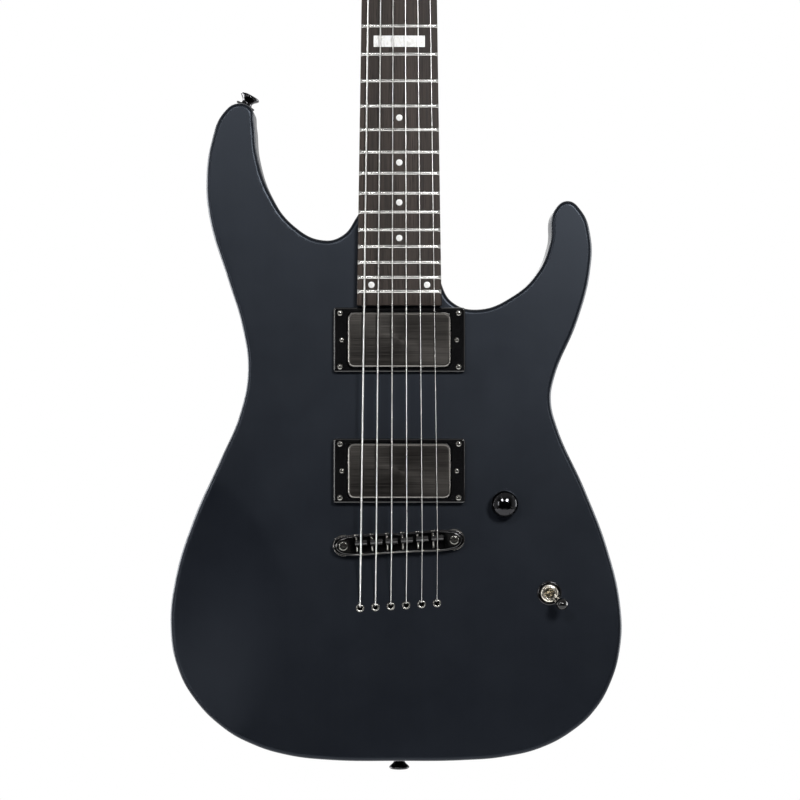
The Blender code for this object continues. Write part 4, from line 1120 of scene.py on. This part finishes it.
def make_string_ends(number):
    """A string's ball end, the eyelet that it passes through, and the ferrule that holds it."""
    x, z = eyelet_at(number)
    barrel = [(1.9, 1.6), (1.9, 0.9), (1.55, 0.5), (1.55, -0.5), (1.9, -0.9), (1.9, -1.6), (0.8, -1.6),
              (0.8, 1.6), (1.9, 1.6)]
    turned(f"ball_end_{number}", barrel, aimed((x, 17.6 * MM, z), (1, 0, 0)), BRASS, "steel", 28, 0.15)
    eyelet = [(1.6, 0.2), (1.85, 0.6), (2.3, 0.6), (2.85, 0.1), (2.85, 0.02), (2.35, 0.02), (2.35, -3.6),
              (1.6, -3.6), (1.6, 0.2)]
    turned(f"eyelet_{number}", eyelet, out_of_front(x, FRONT_Y, z), DARK_NICKEL, "black_metal", 36, 0.2)
    cup = [(4.7, 0.0), (4.7, 0.45), (4.3, 0.8), (3.3, 0.8), (2.6, 0.3), (2.6, -7.5), (1.5, -7.5), (1.5, -9.5),
           (3.75, -9.5), (3.75, 0.0), (4.7, 0.0)]
    turned(f"rear_ferrule_{number}", cup, out_of_back(x, BACK_Y, z), BLACK_METAL, "black_metal", 40, 0.15)


def make_strings():
    for number, diameter in zip(STRINGS, STRING_DIAMETERS):
        make_string(number, diameter)
        make_string_ends(number)


# ---- bridge ----
def bridge_loop(length, width, per_span=8):
    half, wide = length / 2, width / 2
    quarter = [(half, 0), (half - 2.2, wide - 2.4), (half - 7, wide - 0.4), (0, wide)]
    loop = quarter + [(-x, y) for x, y in reversed(quarter[:-1])]
    loop += [(-x, -y) for x, y in quarter[1:]] + [(x, -y) for x, y in reversed(quarter[1:-1])]
    return curve_loop(loop, per_span)


def bridge_spot(number):
    """Where a string crosses its saddle, in the bridge's own frame."""
    return BRIDGE_FRAME.inverted() @ saddle_line(number)


def make_bridge():
    low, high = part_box("bridge_base")
    top, bottom = low.y, high.y
    shoulder, overlap = bottom - 3.4 * MM, 1 * MM
    lower = plate("bridge_body", bridge_loop(90, 13.6), bottom - shoulder, 0.5 * MM, 3)
    lower.data.transform(facing_front((bottom + shoulder) / 2))
    upper = plate("upper", bridge_loop(86.4, 12.4), shoulder - top + overlap, 0.8 * MM, 4)
    upper.data.transform(facing_front((top + shoulder + overlap) / 2))
    join(lower, upper)
    above = top - 5 * MM
    cutters = [box("channel", (-31.5 * MM, above, -5.4 * MM), (31.5 * MM, top + 4.4 * MM, 5.4 * MM))]
    for side in (-1, 1):
        cutters.append(along_y("socket", side * POST_HALF_SPACING, 0, above, bottom + 5 * MM, 3.5 * MM, 48))
    groove_y = top - 0.35 * MM
    for number in STRINGS:
        x, screw_y = bridge_spot(number).x, screw_height(number)
        screw_x = x - SCREW_OFFSET
        cutters.append(rod("screw_way", (screw_x, screw_y, 3 * MM), (screw_x, screw_y, 9 * MM), 1.45 * MM, 20))
        cutters.append(rod("string_groove", (x, groove_y, -9 * MM), (x, groove_y, -4 * MM), 1.3 * MM, 20))
    cut(lower, *cutters)
    lower.matrix_world = BRIDGE_FRAME
    dress(lower, BLACK_SATIN, "black_metal", "bridge", ("bridge_base",), weighted=True)


def screw_height(number):
    """Y of an intonation screw's axis, which runs through the middle of its saddle."""
    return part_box(f"saddle_{number}")[1].y - 2.3 * MM


def make_saddles():
    """Each saddle has a ramped top with a string notch, and a screw that sets its place along the string."""
    screw = screw_mesh("intonation_screw", 1.75, 1.3, 1.0, 12.4, 0.4)
    for number, diameter in zip(STRINGS, STRING_DIAMETERS):
        saddle_name = f"saddle_{number}"
        spot, screw_y = bridge_spot(number), screw_height(number)
        floor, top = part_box(saddle_name)[1].y, spot.y + GAP
        side = [(-2.6, floor), (-2.6, top + 2.6 * MM), (-1.5, top + 1.1 * MM), (-0.35, top), (0.35, top),
                (1.9, top + 1.5 * MM), (1.9, floor)]
        rings = [[(x * MM, y, z * MM) for z, y in side] for x in (-4.1, 4.1)]
        saddle = bevel(loft(f"saddle_block_{number}", rings), 0.28 * MM, 3, 20)
        notch_y = top - GAP - diameter / 2
        notch = rod("notch", (0, notch_y, -6 * MM), (0, notch_y, 5 * MM), diameter / 2 + 0.12 * MM, 20)
        bore = rod("bore", (-SCREW_OFFSET, screw_y, -6 * MM), (-SCREW_OFFSET, screw_y, 6 * MM), 1.2 * MM, 20)
        cut(saddle, notch, bore)
        saddle.matrix_world = BRIDGE_FRAME @ moved(spot.x, 0, spot.z)
        dress(saddle, BLACK_SATIN, "black_metal", saddle_name, (saddle_name,), sharp=25, weighted=True)
        place = BRIDGE_FRAME @ (moved(spot.x - SCREW_OFFSET, screw_y, 6.5 * MM) @ spun(number * 0.9))
        place_screw(f"intonation_screw_{number}", screw, place, DARK_NICKEL, "bridge")
        # Painted highlight: a thin bright nickel rod in each string groove at the bridge's rear edge stands in for
        # the bright tick of light there.
        rest = Vector((spot.x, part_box("bridge_base")[0].y + 0.8 * MM, -5.9 * MM))
        half = Vector((1.2 * MM, 0, 0))
        start, end = BRIDGE_FRAME @ (rest - half), BRIDGE_FRAME @ (rest + half)
        wear_and_glint = rod(f"groove_glint_{number}", start, end, 0.32 * MM)
        dress(wear_and_glint, NICKEL, "black_metal", "bridge")


def knurl(obj, inner, count, depth):
    """Grooves the rim of a turned piece outside a radius."""
    for vertex in obj.data.vertices:
        x, y, _ = vertex.co
        radius = math.hypot(x, y)
        if radius > inner:
            share = 1 - depth / radius * (0.5 - 0.5 * math.cos(count * math.atan2(y, x)))
            vertex.co.x, vertex.co.y = x * share, y * share


def make_bridge_posts():
    """Threaded posts with a knurled wheel and a screwdriver slot, each in a bushing."""
    profile = [(0, 11.6), (2.6, 11.6), (3.1, 11.1), (3.1, 4.3), (7.1, 4.3), (7.5, 3.9), (7.5, 2.3), (7.1, 1.9),
               (3.1, 1.9)]
    height, pitch = 1.5, 0.9
    while height > -17:
        profile += [(3.1, height), (2.75, height - pitch / 2)]
        height -= pitch
    profile += [(2.7, -18), (0, -18)]
    sleeve = [(3.5, 0.3), (6.1, 0.3), (6.4, 0.02), (5.0, 0.02), (5.0, -16), (3.5, -16), (3.5, 0.3)]
    for side in ("bass", "treble"):
        name = f"bridge_post_{side}"
        spot = joint_place(f"{name}_turn")
        place = out_of_front(spot.x, FRONT_Y, spot.z)
        post = lathe(f"height_post_{side}", profile, None, 144, 0.12)
        knurl(post, 7.0 * MM, 36, 0.35 * MM)
        cut(post, box("slot", (-4 * MM, -0.55 * MM, 10.3 * MM), (4 * MM, 0.55 * MM, 14 * MM)))
        post.matrix_world = place
        dress(post, DARK_NICKEL, "black_metal", name, (name,), sharp=30)
        turned(f"post_bushing_{side}", sleeve, place, BLACK_METAL, "black_metal", 48, 0.15)


# ---- pickups ----
def make_pickup(name):
    low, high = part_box(f"pickup_ring_{name}")
    top, bottom, z = low.y, high.y, (low.z + high.z) / 2
    ring = plate(f"pickup_frame_{name}", rectangle(high.x - low.x, high.z - low.z, 2 * MM, 5), bottom - top,
                 1.3 * MM, 5, facing_front((top + bottom) / 2, 0, z))
    opening = rectangle(71.4 * MM, 38.7 * MM, 5.2 * MM, 8)
    window = plate("window", opening, 20 * MM, matrix=facing_front(top, 0, z))
    corners = [(x * MM, z + dz * MM) for x in (-40.6, 40.6) for dz in (-18.4, 18.4)]
    heights = [(x * MM, z) for x in (-39.3, 39.3)]
    above = top - 1 * MM
    holes = [along_y("sink", x, at, above, top + 0.8 * MM, 2.2 * MM) for x, at in corners + heights]
    holes += [along_y("way", x, at, above, bottom + 1 * MM, 1.5 * MM, 20) for x, at in corners + heights]
    cut(ring, window, *holes)
    dress(ring, GLOSS_PLASTIC, "black_plastic", replaces=(f"pickup_ring_{name}",), weighted=True)
    short, long = screw_mesh("ring_screw", 1.95, 1.2, 1.1, 14), screw_mesh("height_screw", 1.75, 1.0, 1.0, 18)
    for kind, mesh, spots, turn in (("ring", short, corners, 0.8), ("height", long, heights, 1.1)):
        for number, (x, at) in enumerate(spots, start=1):
            place = out_of_front(x, top + 0.75 * MM, at, number * turn)
            place_screw(f"{kind}_screw_{name}_{number}", mesh, place, DARK_NICKEL)
    body = f"pickup_{name}"
    low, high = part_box(body)
    face = rectangle(70.3 * MM, 37.6 * MM, 5.2 * MM, 8)
    cover = plate(f"pickup_cover_{name}", face, high.y - low.y, 1.9 * MM, 6,
                  facing_front((low.y + high.y) / 2, 0, z))
    dress(cover, BRUSHED, "pickup_cover", body, (body,), weighted=True)
    ears = plate(f"pickup_ears_{name}", rectangle(82 * MM, 12 * MM, 3 * MM, 6), 1.8 * MM, 0.2 * MM, 2,
                 facing_front(high.y - 1.3 * MM, 0, z))
    cut(ears, *[along_y("hole", x, at, 0, -30 * MM, 1.35 * MM, 20) for x, at in heights])
    dress(ears, STEEL, "pickup_cover", body)


# ---- controls ----
def make_volume():
    spot = joint_place("volume_turn")
    place = out_of_front(spot.x, FRONT_Y, spot.z)
    dome = [(0, 17.2), (2.2, 17.05), (4.4, 16.5), (6.4, 15.5), (8.0, 13.9), (9.0, 11.8), (9.45, 9.4),
            (9.5, 7.0), (9.5, 1.5), (9.1, 1.0), (7.5, 1.0), (7.5, 5.0), (3.3, 5.0), (3.3, 11.8), (0, 11.8)]
    turned("dome_knob", dome, place, BLACK_METAL, "black_metal", 96, 0.5,
           body="volume", replaces=("volume_knob",), sharp=35)
    lean, dome_centre, dome_radius = math.radians(52), 7.9 * MM, 9.3 * MM
    out = Matrix.Rotation(lean, 4, "X") @ Vector((0, 0, dome_radius))
    at = place @ moved(0, -out.y, dome_centre + out.z) @ Matrix.Rotation(-lean, 4, "X")
    dot = [(0, 0.12), (0.5, 0.1), (0.6, -0.4), (0, -0.4)]
    turned("knob_pointer", dot, at, PEARL, "inlay_pearl", 20, 0.05, body="volume")
    washer = [(4.0, 0.75), (7.0, 0.75), (7.0, 0.02), (4.0, 0.02), (4.0, 0.75)]
    turned("volume_washer", washer, place, BLACK_METAL, "black_metal", 48, 0.15)


def make_toggle():
    pivot, axis = joint_place("toggle_tilt"), joint_axis("toggle_tilt")
    place = out_of_front(pivot.x, FRONT_Y, pivot.z)
    washer = [(6.5, 1.0), (7.6, 1.0), (8.4, 0.55), (8.4, 0.05), (6.5, 0.05), (6.5, 1.0)]
    turned("toggle_washer", washer, place, BLACK_SATIN, "black_metal", 64)
    nut = [(4.6, 3.5), (5.3, 3.5), (6.0, 2.9), (6.25, 1.2), (6.25, 0.4), (4.6, 0.4), (4.6, 3.5)]
    ring = lathe("toggle_nut", nut, None, 96)
    cut(ring, box("slot", (-0.6 * MM, -7 * MM, 2.6 * MM), (0.6 * MM, 7 * MM, 5 * MM)))
    ring.matrix_world = place @ spun(0.5)
    dress(ring, NICKEL, "steel", weighted=True)
    case = [(3.6, 3.9), (4.5, 3.9), (4.5, -6.4), (11, -6.4), (11, -27), (0, -27), (0, -7.5), (3.6, -7.5),
            (3.6, 3.9)]
    turned("toggle_case", case, place, NICKEL, "steel", 64, 0.3, replaces=("toggle_switch",))
    lean = math.radians(JOINTS["toggle_tilt"]["range_deg"][1] / 2)  # at rest, half its range from upright
    lever = from_axes(pivot, axis, Matrix.Rotation(-lean, 3, axis) @ Vector((0, -1, 0)))
    shaft = [(0, 17), (1.45, 17), (1.3, 9), (1.3, 2), (2.2, 0), (1.3, -2), (1.3, -4), (0, -4)]
    turned("toggle_shaft", shaft, lever, NICKEL, "black_metal", 32, 0.4,
           body="toggle", replaces=("toggle_lever",))
    tip = [(0, 28.6), (1.8, 28.2), (3.3, 27.1), (4.1, 25.6), (4.25, 24.0), (3.9, 22.2), (3.1, 19.6),
           (2.5, 16.4), (2.1, 13.0), (1.95, 9.0), (1.75, 8.6), (1.5, 8.6), (1.5, 17.2), (0, 17.2)]
    turned("toggle_tip", tip, lever, TIP_PLASTIC, "black_plastic", 56, 0.5, body="toggle")


def make_jack():
    place = aimed((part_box("jack_cup")[1].x, 0, middle("jack_cup").z), (1, 0, 0))
    cup = [(11.6, 0.35), (11.9, -0.15), (11.0, -0.4), (11.0, -8.9), (4.9, -8.9), (4.9, -7.7), (9.6, -7.7),
           (9.6, 0.2), (10.2, 0.5), (11.6, 0.35)]
    turned("jack_socket_cup", cup, place, BLACK_METAL, "black_metal", 72, 0.3, replaces=("jack_cup",))
    nut = lathe("jack_nut", [(4.6, -5.0), (7.6, -5.0), (7.6, -7.4), (4.6, -7.4), (4.6, -5.0)], place, 6, 0)
    dress(bevel(nut, 0.3 * MM, 2), NICKEL, "steel", sharp=25)
    sleeve = [(3.3, -4.2), (4.4, -4.2), (4.4, -9.2), (7.9, -9.2), (7.9, -20), (6.4, -20), (6.4, -44), (0, -44),
              (0, -42), (3.3, -42), (3.3, -4.2)]
    turned("jack_sleeve", sleeve, place, NICKEL, "steel", 48, 0.2, replaces=("output_jack",))


def make_strap_buttons():
    button = [(3.3, -0.35), (5.2, 0), (6.4, -0.4), (7.0, -1.1), (7.0, -1.9), (6.0, -2.9), (4.4, -4.3),
              (3.7, -5.6), (4.1, -6.9), (4.7, -7.5), (2.1, -7.5), (2.1, -2.6), (3.3, -0.35)]
    washer = [(2.3, -7.55), (6.6, -7.55), (6.8, -8.2), (6.5, -8.9), (2.3, -8.9), (2.3, -7.55)]
    mesh = screw_mesh("strap_screw", 3.15, 1.4, 1.9, 24, 0.7)
    mounts = {mount["name"]: mount for mount in frame["record"]["mounts"]}
    for side in ("upper", "lower"):
        name = f"strap_button_{side}"
        place = aimed(mounts[name]["pos_m"], mounts[name]["axis"])
        turned(f"strap_knob_{side}", button, place, BLACK_METAL, "black_metal", 64, 0.4, replaces=(name,))
        turned(f"strap_washer_{side}", washer, place, FELT, "black_plastic", 48, 0.3)
        place_screw(f"strap_screw_{side}", mesh, place @ moved(0, 0, -1.5 * MM) @ spun(0.4), BLACK_METAL)


# ---- tuners ----
def tuner_knob(name):
    """A pillow-shaped oval button, flatter on its faces than a ball."""

    def build(bm):
        bmesh.ops.create_uvsphere(bm, u_segments=56, v_segments=36, radius=1)
        for vertex in bm.verts:
            x, y, z = vertex.co
            rim = math.hypot(y, z)
            thin = math.copysign(abs(x) ** 0.8, x) * (1 - 0.18 * (1 - rim) ** 2)
            vertex.co = (thin * 3.9 * MM, y * 9.4 * MM, math.copysign(abs(z) ** 0.92, z) * 7.6 * MM)

    return mesh_object(name, build)


def make_housing(number, base, across, back):
    """A tuner's hollow case, with a collar where the button's shaft comes out."""
    low, high = (-7.2 * MM, -6.4 * MM, back - 9.8 * MM), (7.2 * MM, 10.4 * MM, back)
    case = box(f"tuner_case_{number}", low, high, 1.7 * MM, 5)
    collar = lathe("collar", [(0, 8.1), (3.2, 8.1), (3.6, 7.6), (3.9, 6), (0, 6)], across, 40, 0.2)
    hollow = box("hollow", (-6 * MM, -5.2 * MM, back - 8.6 * MM), (6 * MM, 9.2 * MM, back + 1 * MM))
    shaft_way = lathe("way", [(0, 12), (1.9, 12), (1.9, 4), (0, 4)], across, 24, 0)
    join(case, collar)
    cut(case, hollow, shaft_way)
    case.matrix_world = base
    dress(case, BLACK_METAL, "black_metal", replaces=(f"tuner_housing_{number}",), weighted=True)


def make_tuner(number):
    base = tuner_frame(number)
    across = aimed(base.inverted() @ joint_place(f"tuner_button_{number}_turn"), (1, 0, 0))
    make_housing(number, base, across, -HEAD_THICKNESS - GAP)
    sleeve = [(3.4, 2.9), (4.2, 2.9), (4.7, 2.4), (4.7, -12), (3.4, -12), (3.4, 2.9)]
    turned(f"tuner_bushing_{number}", sleeve, base, BLACK_METAL, "black_metal", 40, 0.15)
    washer = [(4.75, 0.62), (6.7, 0.62), (7.0, 0.35), (7.0, 0.03), (4.75, 0.03), (4.75, 0.62)]
    turned(f"tuner_washer_{number}", washer, base, BLACK_METAL, "black_metal", 48, 0.12)
    hexagon = [(4.75, 2.3), (5.9, 2.3), (5.9, 0.65), (4.75, 0.65), (4.75, 2.3)]
    nut = lathe(f"tuner_nut_{number}", hexagon, None, 6, 0)
    bevel(nut, 0.25 * MM, 2)
    cut(nut, rod("bore", (0, 0, -1 * MM), (0, 0, 5 * MM), 4.8 * MM, 40))
    nut.matrix_world = base @ spun(number * 0.6)
    dress(nut, BLACK_METAL, "black_metal", sharp=25)

    body = f"tuner_post_{number}"
    waist, hole_height = POST_WAIST_RADIUS / MM, 9.1 * MM
    profile = [(0, 13.4), (2.5, 13.4), (3.0, 12.9), (3.0, 10.8), (waist, 9.9), (waist, 4.0), (3.0, 3.4),
               (3.0, -16.6), (4.4, -16.6), (4.4, -20), (0, -20)]
    post = lathe(f"string_post_{number}", profile, None, 48, 0.3)
    cut(post, rod("string_way", (-5 * MM, 0, hole_height), (5 * MM, 0, hole_height), 0.75 * MM, 20),
        box("slot", (-4 * MM, -0.45 * MM, 12.3 * MM), (4 * MM, 0.45 * MM, 15 * MM)))
    post.matrix_world = base
    dress(post, BLACK_METAL, "black_metal", body, (body,), sharp=28)
    radius = min(STRING_DIAMETERS[number - 1] / 2, 0.6 * MM)
    ends = [base @ Vector((x * MM, 0, hole_height)) for x in (-3.9, 2.5)]
    dress(tube(f"string_tail_{number}", ends, [radius] * 2), PLAIN_STRING, "steel", body, sharp=80)

    body = f"tuner_button_{number}"
    worm = base @ across
    shaft = [(0, 19), (1.6, 19), (2.6, 14.5), (2.6, 8.6), (1.5, 8.3), (1.5, -5.6), (0, -5.6)]
    turned(f"button_shaft_{number}", shaft, worm, BLACK_METAL, "black_metal", 32, 0.2,
           body=body, replaces=(body,))
    knob = tuner_knob(f"button_{number}")
    knob.matrix_world = worm @ moved(0, 0, 22 * MM)
    dress(knob, BLACK_METAL, "black_metal", body, sharp=60)
    cap = [(0, 0.5), (1.6, 0.35), (2.0, 0), (2.0, -0.8), (0, -0.8)]
    place = worm @ moved(0, 0, 29.4 * MM)
    turned(f"button_cap_{number}", cap, place, BLACK_METAL, "black_metal", 32, 0.15, body=body)


# ---- kept CAD nodes ----
def dress_kept_nodes():
    finishes = {"truss_rod": STEEL, "truss_rod_nut": STEEL, "volume_shaft": NICKEL, "volume_pot": STEEL,
                "battery": BATTERY_CAN}
    for name, material in finishes.items():
        node = frame["nodes"][name]
        node.data.materials.clear()
        node.data.materials.append(material)


# ---- stage ----
def make_stage():
    """A pale floor below the guitar."""
    radius, height = 1.2, -0.5

    def disc(bm):
        bmesh.ops.create_circle(bm, cap_ends=True, segments=96, radius=radius)

    floor = mesh_object("floor", disc)
    floor.location = (0, 0, height)
    paper = Recipe("pale_floor", IOR=1.3)
    tint = paper.ramp(paper.noise(3, 3), (0.3, (0.80, 0.80, 0.80)), (0.7, (0.84, 0.84, 0.84)))
    paper.finish(tint, paper.spread(paper.noise(40, 3), 0.8, 0.95))
    floor.data.materials.append(paper.material)


WORLD_FILL = 0.015
SIDE_GLOW = (0.55, 0.98, 0.7)  # how far the direction points that way: from, to, and the strength reached
BACK_GLOW = (0.05, 0.8, 0.9)
TOP_GLOW = (0.35, 0.9, 0.5)
BODY_CENTRE = (0, 0, 0.3)


def make_world():
    """White behind the guitar to the camera; to everything else a dim room, lighter at its sides and back."""
    world = bpy.data.worlds.new("studio")
    bpy.context.scene.world = world
    world.use_nodes = True
    tree = world.node_tree

    def maths(operation, first, second):
        made = tree.nodes.new("ShaderNodeMath")
        made.operation = operation
        for socket, value in zip(made.inputs, (first, second)):
            if isinstance(value, bpy.types.NodeSocket):
                tree.links.new(value, socket)
            else:
                socket.default_value = value
        return made.outputs[0]

    def glow(value, start, end, strength):
        made = add_node(tree, "ShaderNodeMapRange", Value=value, From_Min=start, From_Max=end, To_Min=0,
                        To_Max=strength)
        made.interpolation_type = "SMOOTHSTEP"
        return made.outputs["Result"]

    generated = tree.nodes.new("ShaderNodeTexCoord").outputs["Generated"]
    direction = add_node(tree, "ShaderNodeSeparateXYZ", Vector=generated).outputs
    room = maths("ADD", glow(maths("ABSOLUTE", direction["X"], 0), *SIDE_GLOW), WORLD_FILL)
    room = maths("ADD", room, glow(direction["Y"], *BACK_GLOW))
    room = maths("ADD", room, glow(direction["Z"], *TOP_GLOW))
    seen = tree.nodes.new("ShaderNodeLightPath").outputs["Is Camera Ray"]
    background = tree.nodes["Background"]
    background.inputs["Color"].default_value = (1, 1, 1, 1)
    tree.links.new(maths("MAXIMUM", room, seen), background.inputs["Strength"])


def softbox(name, place, target, width, height, power):
    data = bpy.data.lights.new(name, "AREA")
    data.shape = "RECTANGLE"
    data.size, data.size_y = width, height
    data.energy = power
    light = show(bpy.data.objects.new(name, data))
    light.location = place
    light.rotation_euler = (Vector(target) - Vector(place)).to_track_quat("-Z", "Y").to_euler()
    light.visible_camera = False


def round_the_front(azimuth, elevation, distance=2.4):
    """A place so many metres from the body, azimuth degrees to the right of straight in front."""
    turn, rise = math.radians(azimuth), math.radians(elevation)
    way = Vector((math.sin(turn) * math.cos(rise), -math.cos(turn) * math.cos(rise), math.sin(rise)))
    return Vector(BODY_CENTRE) + distance * way


def make_lights():
    softbox("key", round_the_front(16, 17.5), BODY_CENTRE, 0.4, 0.4, 50)
    softbox("front", round_the_front(-13, 20), BODY_CENTRE, 0.3, 0.3, 18)
    softbox("fill", round_the_front(-40, 1), (0, 0, 0.2), 0.5, 0.9, 14)
    softbox("side_left", (-2.0, 0.7, 0.3), (0, 0, 0.25), 1.4, 1.4, 90)
    softbox("side_right", (2.0, 0.7, 0.3), (0, 0, 0.25), 1.2, 1.3, 50)
    softbox("back", (-0.9, 2.6, 1.7), (0, 0, 0.45), 1.8, 1.8, 40)


def make_camera():
    """Straight in front and level; frame_width is what it sees across at the body's front face."""
    data = bpy.data.cameras.new("camera")
    camera = show(bpy.data.objects.new("camera", data))
    distance, frame_width, height = 2.0, 549 * MM, 256 * MM
    data.sensor_width = 36
    data.lens = data.sensor_width * (distance + FRONT_Y) / frame_width
    camera.location = (0.5 * MM, -distance, height)
    camera.rotation_euler = (math.radians(90), 0, 0)
    data.clip_start, data.clip_end = 0.05, 40
    bpy.context.scene.camera = camera


def main():
    for make in (make_camera, make_stage, make_world, make_lights, make_body, make_control_cover, make_neck,
                 make_fingerboard, make_frets, make_inlays, make_nut, make_rod_cover, make_neck_plate,
                 make_strings, make_bridge, make_saddles, make_bridge_posts):
        make()
    for name in ("neck", "bridge"):
        make_pickup(name)
    for make in (make_volume, make_toggle, make_jack, make_strap_buttons):
        make()
    for number in STRINGS:
        make_tuner(number)
    dress_kept_nodes()
    bpy.context.scene.view_settings.view_transform = "Standard"


main()
